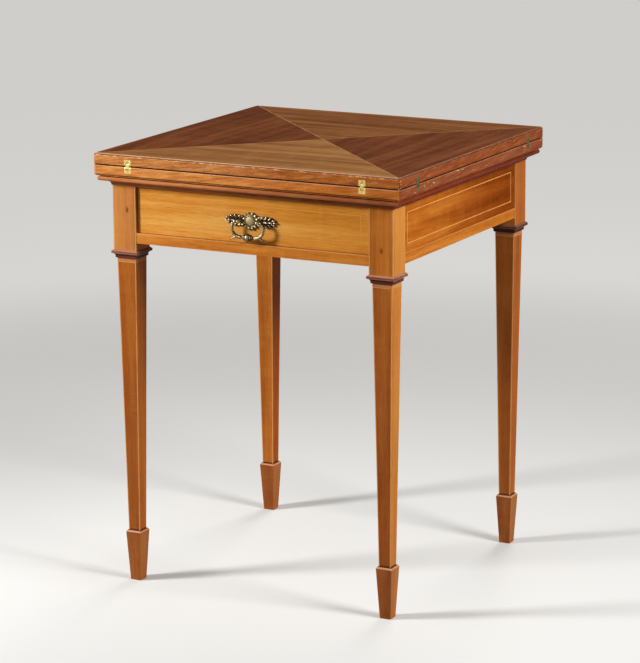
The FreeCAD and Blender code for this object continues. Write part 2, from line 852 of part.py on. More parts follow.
def make_front_rails():
    """The rail under the drawer and the thin rail above it."""
    back = dim("lower_rail_depth") - frame_half
    middle = (back - rail_face) / 2
    tenon_y = (middle - dim("rail_tenon_depth") / 2, middle + dim("rail_tenon_depth") / 2)
    rails = []
    for label, low, high in (("front_rail", rail_bottom, rail_top),
                             ("front_top_rail", opening_top, frame_top)):
        board = box(f"{label}_board", (-stile_inner, stile_inner), (-rail_face, back), (low, high))
        shoulder = (high - low) / 4
        tenon_z = (low + shoulder, high - shoulder)
        rails.append(node(label, with_tenons(f"{label}_piece", board, tenon_y, tenon_z)))
    return rails


def make_drawer_carcase():
    """Runners with their guides, kickers, stops and the bearer of the swivel."""
    front, back = dim("lower_rail_depth") - frame_half, apron_inner
    runners, kickers, stops = [], [], []
    for sign in (-1, 1):
        inner, outer = stile_inner - dim("runner_width"), stile_inner
        span = sorted((sign * inner, sign * outer), key=lambda size: size.value)
        guide = sorted((sign * outer, sign * apron_inner), key=lambda size: size.value)
        runner = box("runner_board", span, (front, back), (rail_bottom, rail_top))
        fence = box("guide_board", guide, (-stile_inner, stile_inner),
                    (rail_top - dim("guide_drop"), rail_top + dim("guide_height")))
        runners.append(fuse("runner", runner, fence))
        kickers.append(box("kicker", span, (front, back), (opening_top, frame_top)))
        reach = sign * dim("stop_reach")
        stops.append(box("stop", (reach - dim("stop_width") / 2, reach + dim("stop_width") / 2),
                         (-drawer_shoulder, dim("stop_length") - drawer_shoulder),
                         (rail_top, rail_top + dim("stop_height"))))
    node("drawer_runners", group("runners", *runners))
    node("drawer_kickers", group("kickers", *kickers))
    node("drawer_stops", group("stops", *stops))
    half = dim("bearer_width") / 2
    return box("bearer_board", (-half, half), (front, back), (opening_top, frame_top))


def make_leg(label, x_sign, y_sign, joined):
    """One leg: stile, neck and tapered shaft in one length, mortised for the rails that meet it."""
    x, y = x_sign * stile_centre, y_sign * stile_centre
    neck, ankle = dim("neck_width") / 2, dim("ankle_width") / 2
    body = new_body(f"{label}_body")
    loft(body, [square(body, "ankle", ankle, foot_top), square(body, "neck", neck, collar_bottom)])
    pad(body, square(body, "collar_seat", neck, collar_bottom), dim("collar_height"))
    pad(body, square(body, "stile", stile_half, collar_top), frame_top - collar_top)
    tenon = square(body, "foot_tenon", dim("foot_tenon_width") / 2, foot_top - dim("foot_tenon_length"))
    pad(body, tenon, dim("foot_tenon_length"))
    place(body, x, y)
    lines = leg_string_room(label, x, y, neck, ankle)
    string = common(f"{label}_string", body, lines)
    leg = node(label, cut(f"{label}_piece", body, *joined, lines))
    return leg, string


def leg_string_room(label, x, y, neck, ankle):
    """Room for the stringing: one square line down each arris and a band below the collar."""
    line, proud = dim("string_width"), dim("overrun")
    length = collar_bottom - foot_top
    rooms = []
    for x_side, y_side in ((1, 1), (-1, 1), (-1, -1), (1, -1)):
        wedge = doc.addObject("Part::Wedge", f"{label}_arris")
        bind(wedge, Ymin=0, Ymax=length)
        for axis, side in (("X", x_side), ("Z", -y_side)):
            for end, half in (("", ankle), ("2", neck)):
                near, far = (half - line) * side, (half + proud) * side
                low, high = (near, far) if side > 0 else (far, near)
                bind(wedge, **{f"{axis}{end}min": low, f"{axis}{end}max": high})
        rooms.append(place(wedge, x, y, foot_top, turn=Rotation(Vector(1, 0, 0), 90)))
    high = collar_bottom - dim("string_collar_gap")
    reach = neck + proud
    band = box(f"{label}_band", (x - reach, x + reach), (y - reach, y + reach), (high - line, high))
    taper = (neck - ankle) / length
    core = neck - dim("string_depth") - taper * dim("string_collar_gap")
    middle = box(f"{label}_core", (x - core, x + core), (y - core, y + core), (high - line, high))
    return fuse(f"{label}_string_room", cut(f"{label}_ring", band, middle), *rooms)


def collar_ring(name, x, y):
    """The moulded collar under a stile, round the neck of its leg."""
    lip = stile_half + dim("collar_lip_reach")
    base = lip - dim("collar_cove_radius")
    slope = collar_top - dim("collar_slope_height")
    under = slope - dim("collar_lip_height")
    ring = square_moulding(f"{name}_moulding", [
        (base, collar_bottom),
        (base, under - dim("collar_cove_radius")),
        (lip, under, dim("collar_cove_radius"), -1),
        (lip, slope),
        (stile_half, collar_top),
    ], lip * 2)
    half = dim("neck_width") / 2
    hole = box(f"{name}_hole", (-half, half), (-half, half),
               (collar_bottom - dim("overrun"), collar_top + dim("overrun")))
    return place(cut(name, ring, hole), x, y)


def spade_foot(name, x, y, leg):
    """A tapered foot with a sloped ledge, mortised for the tenon of its leg."""
    body = new_body(f"{name}_body")
    sections = ((dim("foot_sole_width"), 0), (dim("foot_top_width"), foot_top - dim("foot_ledge_height")),
                (dim("foot_ledge_width"), foot_top))
    loft(body, [square(body, "foot_section", width / 2, level) for width, level in sections])
    return cut(name, place(body, x, y), leg)


def make_legs(aprons, rails):
    """Four legs with their collars, feet and stringing."""
    strings, collars, feet = [], [], []
    joined = fuse("mortise_room", *aprons, *rails)
    for y_name, y_sign in (("front", -1), ("back", 1)):
        for x_name, x_sign in (("left", -1), ("right", 1)):
            label = f"leg_{y_name}_{x_name}"
            leg, string = make_leg(label, x_sign, y_sign, [joined])
            x, y = x_sign * stile_centre, y_sign * stile_centre
            strings.append(string)
            collars.append(collar_ring(f"{label}_collar", x, y))
            feet.append(spade_foot(f"{label}_foot", x, y, leg))
    node("leg_stringing", group("leg_strings", *strings))
    node("leg_collars", group("collars", *collars))
    node("spade_feet", group("feet", *feet))


# Drawer

drawer_bottom_low = rail_top + dim("drawer_bottom_rise")
drawer_end = apron_inner - dim("drawer_back_gap")
drawer_side_top = opening_top - dim("drawer_side_drop")


def drawer_side(name, sign, room):
    """A drawer side with lapped dovetails at the front and grooves for the bottom and back."""
    low, high = rail_top, drawer_side_top
    pitch = (high - low) / dim("dovetail_count")
    root = pitch * dim("dovetail_width_share") / 2
    tip = root + dim("dovetail_flare")
    end = -drawer_shoulder - dim("dovetail_length")
    points = [(-drawer_shoulder, low), (drawer_end, low), (drawer_end, high), (-drawer_shoulder, high)]
    for index in reversed(range(int(dim("dovetail_count").value))):
        centre = low + pitch * (index + 1 / 2)
        points += [(-drawer_shoulder, centre + root), (end, centre + tip), (end, centre - tip),
                   (-drawer_shoulder, centre - root)]
    board = bar_along("x", f"{name}_board", points, dim("drawer_side_thick"))
    place(board, x=sign * (drawer_half - dim("drawer_side_thick") / 2))
    return node(name, cut(f"{name}_piece", board, *room))


def make_drawer():
    """The dovetailed drawer with its lines of stringing and its handle."""
    inner = drawer_half - dim("drawer_side_thick")
    groove = inner + dim("drawer_groove_depth")
    bottom_high = drawer_bottom_low + dim("drawer_bottom_thick")
    bottom = node("drawer_bottom", box(
        "bottom_board", (-groove, groove), (-drawer_shoulder - dim("drawer_groove_depth"), drawer_end),
        (drawer_bottom_low, bottom_high)))
    back = node("drawer_back", box(
        "back_board", (-groove, groove),
        (drawer_end - dim("drawer_back_thick") * 2, drawer_end - dim("drawer_back_thick")),
        (bottom_high, drawer_side_top - dim("drawer_back_drop"))))
    sides = [drawer_side(f"drawer_side_{word}", sign, [bottom, back])
             for word, sign in (("left", -1), ("right", 1))]
    low, high = rail_top + dim("drawer_edge_clearance"), opening_top - dim("drawer_edge_clearance")
    inset = dim("drawer_string_inset")
    lines = node("drawer_stringing", string_frame("drawer_line", drawer_half - inset, -drawer_face,
                                                  (low + inset, high - inset)))
    posts = make_handle()
    board = box("drawer_front_board", (-drawer_half, drawer_half), (-drawer_face, -drawer_shoulder),
                (low, high))
    node("drawer_front", cut("drawer_front_piece", board, *sides, bottom, lines, posts))


# Handle

def arm_leaves(sign):
    """Rounded leaflets in pairs along one arm of the plate, a boss between each pair, and the tip."""
    bosses = []
    for index in range(int(dim("leaflet_count").value)):
        taper = 1 - dim("leaflet_taper_share") * index
        reach = sign * (dim("leaflet_first_reach") + dim("leaflet_pitch") * index)
        radius = dim("leaflet_radius") * taper
        for rise in (-dim("leaflet_rise") * taper, as_size(0), dim("leaflet_rise") * taper):
            bosses.append(sphere("leaflet", (reach, -drawer_face, handle_level + rise), radius))
    tip = doc.addObject("Part::Cone", "arm_tip")
    bind(tip, Radius1=dim("tip_root_radius"), Radius2=dim("tip_end_radius"), Height=dim("tip_length"))
    start = sign * (dim("arm_half_length") - dim("tip_length"))
    place(tip, start, -drawer_face, handle_level, turn=Rotation(Vector(0, 1, 0), 90 * sign))
    return bosses + [tip]


def roundel():
    """The scalloped roundel with its domed button, turned about an axis to the front."""
    body = new_body("roundel")
    base, crown = dim("roundel_thick"), dim("roundel_thick") + dim("button_height")
    button, dome = dim("button_radius"), dim("button_dome")
    profile = outline(body, "XY_Plane", "roundel_profile", [
        (0, 0), (dim("roundel_radius"), 0), (dim("roundel_radius"), base), (button, base), (button, crown),
        (0, crown + dome, (button * button + dome * dome) / (dome * 2), 1),
    ])
    disc = body.newObject("PartDesign::Revolution", "disc")
    disc.Profile = profile
    disc.ReferenceAxis = (profile, ["V_Axis"])
    disc.Angle = 360
    ring = new_sketch(body, "XZ_Plane", "lobe_plan")
    centre = Vector(dim("roundel_radius").value, 0, 0)
    circle = ring.addGeometry(Part.Circle(centre, Vector(0, 0, 1), dim("lobe_radius").value))
    dimension(ring, dim("lobe_radius"), "Radius", circle)
    dimension(ring, dim("roundel_radius"), "DistanceX", -1, 1, circle, 3)
    dimension(ring, 0, "DistanceY", -1, 1, circle, 3)
    lobe = pad(body, ring, dim("lobe_thick"))
    lobe.Reversed = True
    lobes = body.newObject("PartDesign::PolarPattern", "lobes")
    lobes.Originals = [lobe]
    lobes.Axis = (plane_of(body, "Y_Axis"), [""])
    lobes.Angle = 360
    lobes.setExpression("Occurrences", "dims.lobe_count")
    body.Tip = lobes
    return place(body, 0, -drawer_face, handle_level, turn=Rotation(Vector(0, 0, 1), 180))


def handle_post(name, x):
    """A post with its seat, neck, bored head and the shank through the drawer front."""
    inside = -drawer_shoulder + dim("handle_nut_thick")
    shank = cylinder(f"{name}_shank", "y", (x, -drawer_face, handle_level), inside + drawer_face,
                     dim("post_shank_radius"))
    neck = cylinder(f"{name}_neck", "y", (x, -pivot_depth, handle_level), dim("post_stand_off"),
                    dim("post_neck_radius"))
    head = sphere(f"{name}_head", (x, -pivot_depth, handle_level), dim("post_head_radius"))
    reach = dim("post_head_radius") + dim("overrun")
    bore = cylinder(f"{name}_bore", "x", (x - reach, -pivot_depth, handle_level), reach * 2,
                    dim("bail_pin_radius") + dim("running_clearance"))
    return cut(name, fuse(f"{name}_solid", shank, neck, head), bore)


def handle_nut(name, x):
    """The nut behind a post, inside the drawer."""
    hexagon = doc.addObject("Part::Prism", f"{name}_hexagon")
    hexagon.Polygon = 6
    bind(hexagon, Circumradius=dim("handle_nut_radius"), Height=dim("handle_nut_thick"))
    place(hexagon, x, -drawer_shoulder, handle_level, turn=AXIS_TURNS["y"])
    bore = cylinder(f"{name}_bore", "y", (x, -drawer_shoulder - dim("overrun"), handle_level),
                    dim("handle_nut_thick") + dim("overrun") * 2, dim("post_shank_radius"))
    return cut(name, hexagon, bore)


def bail_rod(drop, arm):
    """The bent rod of the bail: a straight bar that bows out to a C at each side."""
    bow, thick, level = dim("bail_bow_radius"), dim("bail_radius"), handle_level - drop
    bend = arm - root(drop * (bow * 2 - drop))
    pieces = [cylinder("bail_bar", "x", (-bend, -pivot_depth, level), bend * 2, thick)]
    lift = (drop - bow) / bow
    sweep = Size(f"(90 deg + asin({lift.text}))", 90 + math.degrees(math.asin(lift.value)))
    upright = Rotation(Vector(1, 0, 0), 90).multiply(Rotation(Vector(0, 0, 1), -90))
    for sign in (-1, 1):
        bent = doc.addObject("Part::Torus", "bail_arm")
        bind(bent, Radius1=bow, Radius2=thick, Angle3=sweep)
        turn = upright if sign > 0 else Rotation(Vector(0, 0, 1), 180).multiply(upright)
        pieces.append(place(bent, sign * bend, -pivot_depth, level + bow, turn=turn))
    return pieces, bend


def bail_knop():
    """The bead of the bar between its two collars."""
    half, collar = dim("knop_half_length"), dim("knop_half_length") + dim("knop_collar_width")
    bulge = dim("knop_radius") - dim("bail_radius")
    knop_arc = (half * half + bulge * bulge) / (bulge * 2)
    body = new_body("bail_knop")
    profile = outline(body, "XZ_Plane", "knop_profile", [
        (-collar, 0), (collar, 0), (collar, dim("knop_collar_radius")), (half, dim("knop_collar_radius")),
        (half, dim("bail_radius")), (0, dim("knop_radius"), knop_arc, 1),
        (-half, dim("bail_radius"), knop_arc, 1), (-half, dim("knop_collar_radius")),
        (-collar, dim("knop_collar_radius")),
    ])
    turning = body.newObject("PartDesign::Revolution", "knop")
    turning.Profile = profile
    turning.ReferenceAxis = (profile, ["H_Axis"])
    turning.Angle = 360
    return body


def make_bail():
    """The hanging bail: the bent rod with its knop, scrolls, corner spurs and a pin in each post."""
    drop, bow = dim("bail_drop"), dim("bail_bow_radius")
    arm = dim("post_reach") + dim("post_head_radius") + dim("bail_clearance") + dim("bail_eye_radius")
    bar_level = handle_level - drop
    rod, bend = bail_rod(drop, arm)
    knop = place(bail_knop(), 0, -pivot_depth, bar_level)
    inner = dim("post_reach") - dim("post_head_radius")
    slope, length, tip = dim("spur_slope"), dim("spur_length"), dim("spur_tip_radius")
    spur_x = bend + bow * cosine(dim("spur_set_angle"))
    spur_z = bar_level + bow - bow * sine(dim("spur_set_angle"))
    extras = []
    for sign in (-1, 1):
        start = -arm if sign < 0 else inner
        extras.append(cylinder("bail_pin", "x", (start, -pivot_depth, handle_level), arm - inner,
                               dim("bail_pin_radius")))
        extras.append(sphere("bail_eye", (sign * arm, -pivot_depth, handle_level), dim("bail_eye_radius")))
        extras.append(sphere("bail_scroll", (sign * dim("scroll_reach"), -pivot_depth, bar_level),
                             dim("scroll_radius")))
        spur = doc.addObject("Part::Cone", "bail_spur")
        bind(spur, Radius1=dim("spur_root_radius"), Radius2=tip, Height=length)
        tilt = Rotation(Vector(0, sign, 0), 180 - slope.value)
        extras.append(place(spur, sign * spur_x, -pivot_depth, spur_z, turn=tilt))
        end_x, end_z = spur_x + length * sine(slope), spur_z - length * cosine(slope)
        extras.append(sphere("spur_ball", (sign * end_x, -pivot_depth, end_z), dim("spur_ball_radius")))
    node("handle_bail", fuse("bail", *rod, knop, *extras))


def make_handle():
    """Cast plate, posts, nuts and bail; gives back the posts for the holes that they need."""
    reach, seat = dim("post_reach"), dim("post_seat_thick")
    posts = node("handle_posts", group("posts", *(handle_post("post", sign * reach) for sign in (-1, 1))))
    half = dim("arm_half_length") - dim("tip_length")
    bar = box("plate_bar", (-half, half), (-drawer_face - dim("arm_thick"), -drawer_face),
              (handle_level - dim("arm_half_height"), handle_level + dim("arm_half_height")))
    seats = [cylinder("post_seat", "y", (sign * reach, -drawer_face - seat, handle_level), seat,
                      dim("post_seat_radius")) for sign in (-1, 1)]
    leaves = fuse("plate_leaves", *arm_leaves(-1), *arm_leaves(1))
    span = dim("arm_half_length") + dim("overrun")
    before = box("plate_front", (-span, span), (-drawer_face - span, -drawer_face),
                 (handle_level - span, handle_level + span))
    plate = fuse("plate_solid", bar, roundel(), *seats, common("plate_relief", leaves, before))
    node("handle_plate", cut("plate", plate, posts))
    node("handle_nuts", group("handle_nut_group",
                              *(handle_nut("handle_nut", sign * reach) for sign in (-1, 1))))
    make_bail()
    return posts


def export_parts():
    """Check every piece and write one file for each."""
    doc.recompute()
    for item in doc.Objects:
        if "Invalid" in item.State or "Error" in item.State:
            raise RuntimeError(f"{item.Name} did not build: {item.State}")
    os.makedirs("parts", exist_ok=True)
    for piece in NODES:
        if piece.Shape.isNull() or not piece.Shape.isValid() or not piece.Shape.Solids:
            raise RuntimeError(f"{piece.Label} has no sound solid")
        piece.Shape.exportStep(f"parts/{piece.Label}.step")


carried = make_aprons()
front_rails = make_front_rails()
make_legs(carried, front_rails)
make_subtop(make_drawer_carcase())
make_cornice()
make_glides()
make_bed()
for turn, word in enumerate(SQUARE_SIDES):
    make_leaf(word, turn)
make_drawer()
export_parts()
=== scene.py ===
"""Dresses the folding games table: woods, stringing, cloth linings, brass hinges and the cast drop handle."""
import logging
import math
from dataclasses import dataclass
from enum import Enum
from typing import Any, Optional, Sequence, Union

import bmesh
import bpy
from mathutils import Matrix, Vector


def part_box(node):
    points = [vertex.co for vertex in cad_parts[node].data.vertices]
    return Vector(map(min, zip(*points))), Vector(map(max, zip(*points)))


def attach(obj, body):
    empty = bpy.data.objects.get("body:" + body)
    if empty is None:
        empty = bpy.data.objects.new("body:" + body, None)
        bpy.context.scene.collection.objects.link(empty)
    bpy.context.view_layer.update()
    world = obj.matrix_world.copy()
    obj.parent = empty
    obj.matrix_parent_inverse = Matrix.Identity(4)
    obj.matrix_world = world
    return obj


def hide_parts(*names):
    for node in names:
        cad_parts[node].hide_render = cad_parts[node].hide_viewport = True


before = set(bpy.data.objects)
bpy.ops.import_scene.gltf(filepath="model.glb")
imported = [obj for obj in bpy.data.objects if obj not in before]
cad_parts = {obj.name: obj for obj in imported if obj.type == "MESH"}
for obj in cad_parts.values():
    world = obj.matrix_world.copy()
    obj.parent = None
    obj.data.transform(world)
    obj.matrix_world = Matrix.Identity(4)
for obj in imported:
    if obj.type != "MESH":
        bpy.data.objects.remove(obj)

logging.basicConfig(level=logging.INFO, format="%(message)s")
LOG = logging.getLogger("games_table")
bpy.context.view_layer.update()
SIDES = ("front", "right", "back", "left")
MM = 0.001

# Places on the table, in metres.
TOP_HALF = 0.28
TOP_LEVEL = 0.735
JOINT_LEVEL = 0.716
DRAWER_FACE = -0.252
HANDLE_LEVEL = 0.6395
BAIL_FRONT = (-0.2605, -0.2615)
HINGE_FRONT = (-0.262, -0.27)
RAIL_HIGHLIGHT = (0.6008, 0.6014)
STILE_CENTRE = 0.2355
STILE_LOW = (0.5716, 0.5722)
KNOTS = ((-0.2304, 0.64), (0.2365, 0.612))
KNOT_SIZE = 0.0042
COLLAR_LOW, COLLAR_HIGH = (corner[2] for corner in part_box("leg_collars"))
FOOT_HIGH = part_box("spade_feet")[1][2]

PALE_BRASS = "efdab6"
Place = tuple[float, float, float]
Profile = Sequence[tuple[float, float]]
Shades = tuple[str, str, str]
Value = Union["Signal", float]
Inputs = dict[Union[str, int], Any]
Material, Socket = bpy.types.Material, bpy.types.NodeSocket
Shape, Vert, Edge = bmesh.types.BMesh, bmesh.types.BMVert, bmesh.types.BMEdge


def linear(shade: str) -> tuple[float, float, float, float]:
    """The linear colour that a shader takes, from the six hexadecimal digits of a screen colour."""
    parts = [int(shade[i:i + 2], 16) / 255 for i in (0, 2, 4)]
    return (*(p / 12.92 if p <= 0.04045 else ((p + 0.055) / 1.055) ** 2.4 for p in parts), 1.0)


class Signal:
    """A value in a shader; arithmetic on it adds Math nodes."""

    def __init__(self, shader: "Shader", socket: Socket) -> None:
        """Keep the socket and the shader that it belongs to."""
        self.shader = shader
        self.socket = socket

    def math(self, operation: str, *others: Value, flip: bool = False) -> "Signal":
        """Add one Math node that works on this value.

        Args:
            operation: Name of the Math node's operation.
            others: The further values that it takes.
            flip: Whether this value goes second.

        Returns:
            The node's result.
        """
        values = [self, *others]
        if flip:
            values.reverse()
        node = self.shader.add("ShaderNodeMath", {"operation": operation}, dict(enumerate(values)))
        return Signal(self.shader, node.outputs[0])

    def __add__(self, other: Value) -> "Signal":
        """This value plus another."""
        return self.math("ADD", other)

    def __sub__(self, other: Value) -> "Signal":
        """This value less another."""
        return self.math("SUBTRACT", other)

    def __mul__(self, other: Value) -> "Signal":
        """This value times another."""
        return self.math("MULTIPLY", other)

    def __rsub__(self, other: float) -> "Signal":
        """A number less this value."""
        return self.math("SUBTRACT", other, flip=True)

    __radd__ = __add__
    __rmul__ = __mul__

    def __abs__(self) -> "Signal":
        """This value without its sign."""
        return self.math("ABSOLUTE")

    def either(self, other: Value) -> "Signal":
        """The larger of two values."""
        return self.math("MAXIMUM", other)

    def rise(self, low: float, high: float) -> "Signal":
        """A smooth step from 0 at low to 1 at high, which falls where low is above high."""
        node = self.shader.add("ShaderNodeMapRange", {"interpolation_type": "SMOOTHSTEP"},
                               {"Value": self, "From Min": low, "From Max": high})
        return Signal(self.shader, node.outputs[0])


class Shader:
    """One material's node tree, with the colour and the roughness that are laid on so far."""

    def __init__(self, name: str) -> None:
        """Start a material with the point that its patterns follow.

        Args:
            name: The material's name.
        """
        self.material = bpy.data.materials.new(name)
        self.material.use_nodes = True
        self.tree = self.material.node_tree
        self.tree.nodes.clear()
        self.source = self.add("ShaderNodeTexCoord")
        self.where = self.source.outputs["Object"]
        self.x, self.y, self.z = self.split("Object")
        self.colour: Any = None
        self.rough: Any = None

    def add(self, kind: str, settings: Optional[dict[str, Any]] = None,
            inputs: Optional[Inputs] = None) -> bpy.types.Node:
        """Add a node.

        Args:
            kind: The node's type.
            settings: Its own settings, and stops as (place, shade) pairs for a colour ramp.
            inputs: Values or links for its sockets, by name or number.

        Returns:
            The node.
        """
        node = self.tree.nodes.new(kind)
        for name, value in (settings or {}).items():
            if name == "stops":
                ramp = node.color_ramp
                while len(ramp.elements) < len(value):
                    ramp.elements.new(0.5)
                for element, (place, shade) in zip(ramp.elements, value):
                    element.position = place
                    element.color = linear(shade)
            else:
                setattr(node, name, value)
        for name, value in (inputs or {}).items():
            if isinstance(value, Signal):
                value = value.socket
            if isinstance(value, Socket):
                self.tree.links.new(value, node.inputs[name])
            else:
                node.inputs[name].default_value = value
        return node

    def split(self, output: str) -> tuple[Signal, ...]:
        """The three parts of Object, a point of the piece in metres, or of Normal, the way that it faces."""
        node = self.add("ShaderNodeSeparateXYZ", inputs={0: self.source.outputs[output]})
        return tuple(Signal(self, out) for out in node.outputs)

    def sideways(self) -> Signal:
        """1 in the left and right quarters of the square, and 0 in the front and back ones."""
        return abs(self.x).math("GREATER_THAN", abs(self.y))

    def point(self, x: Any, y: Any, z: Any) -> Socket:
        """A vector from three values."""
        return self.add("ShaderNodeCombineXYZ", inputs={0: x, 1: y, 2: z}).outputs[0]

    def noise(self, scale: Sequence[float], seed: float, detail: float = 2.0, rough: float = 0.5,
              bend: float = 0.0, where: Optional[Socket] = None) -> Signal:
        """Noise over a point whose axes are stretched one by one.

        Args:
            scale: Cells per metre on each axis.
            seed: How far the pattern is shifted.
            detail: Number of finer layers.
            rough: Weight of the finer layers.
            bend: How much the pattern is twisted.
            where: The point, if it isn't the piece's own.

        Returns:
            The noise, about 0 to 1.
        """
        spread = self.add("ShaderNodeMapping", {"vector_type": "POINT"},
                          {"Vector": self.where if where is None else where, "Scale": tuple(scale),
                           "Location": (seed, seed * 1.7, seed * 2.3)})
        node = self.add("ShaderNodeTexNoise", {"noise_dimensions": "3D"},
                        {"Vector": spread.outputs[0], "Scale": 1.0, "Detail": detail, "Roughness": rough,
                         "Distortion": bend})
        return Signal(self, node.outputs[0])

    def ramp(self, value: Signal, places: Sequence[float], shades: Sequence[str]) -> Socket:
        """A colour that follows a value, with one shade at each place."""
        return self.add("ShaderNodeValToRGB", {"stops": list(zip(places, shades))}, {0: value}).outputs[0]

    def mix(self, share: Value, first: Any, second: Any, blend: str = "MIX") -> Socket:
        """Blend two colours.

        Args:
            share: How much of the second colour shows.
            first: A colour socket or a shade.
            second: A colour socket or a shade.
            blend: How they are laid over each other.

        Returns:
            The blended colour.
        """
        ends = [linear(end) if isinstance(end, str) else end for end in (first, second)]
        node = self.add("ShaderNodeMix", {"data_type": "RGBA", "blend_type": blend, "clamp_factor": True},
                        {0: share, 6: ends[0], 7: ends[1]})
        return node.outputs[2]

    def tint(self, share: Value, shade: Any, blend: str = "MIX") -> None:
        """Lay a shade or another colour over the colour so far."""
        self.colour = self.mix(share, self.colour, shade, blend)

    def finish(self, height: Optional[Signal] = None, relief: float = 0.0002, strength: float = 0.5,
               **constants: Any) -> Material:
        """Add the surface shader and the output.

        Args:
            height: What the bump follows, if there is one.
            relief: How deep the bump is, in metres.
            strength: How strongly the bump shows.
            constants: Other sockets by name, with an underscore for each space.

        Returns:
            The material.
        """
        values = {"Base Color": self.colour, "Roughness": self.rough}
        values.update({name.replace("_", " "): value for name, value in constants.items()})
        if height is not None:
            bump = self.add("ShaderNodeBump", inputs={"Height": height, "Distance": relief, "Strength": strength})
            values["Normal"] = bump.outputs[0]
        surface = self.add("ShaderNodeBsdfPrincipled", inputs=values)
        self.add("ShaderNodeOutputMaterial", inputs={"Surface": surface.outputs[0]})
        return self.material


class Grain(Enum):
    """The way that a board's fibres run."""

    ALONG_X = "x"
    ALONG_Y = "y"
    ALONG_Z = "z"
    ROUND = "round the square"

    def lay(self, shader: Shader) -> Socket:
        """The point with its first axis along the fibres.

        Args:
            shader: The material's tree.

        Returns:
            The turned point.
        """
        x, y, z = shader.x, shader.y, shader.z
        if self is Grain.ROUND:
            sideways = shader.sideways()
            return shader.point(y * sideways + x * (1 - sideways), x * sideways + y * (1 - sideways), z)
        return shader.point(*{Grain.ALONG_X: (x, y, z), Grain.ALONG_Y: (y, x, z), Grain.ALONG_Z: (z, x, y)}[self])


class Extra(Enum):
    """What a piece of wood carries beside its grain."""

    PLAIN = "plain"
    LEAF = "leaf"
    BED = "bed"
    STILE = "stile"
    RAIL = "rail"
    APRON = "apron"
    COLLAR = "collar"
    FOOT = "foot"
    CORNICE = "cornice"


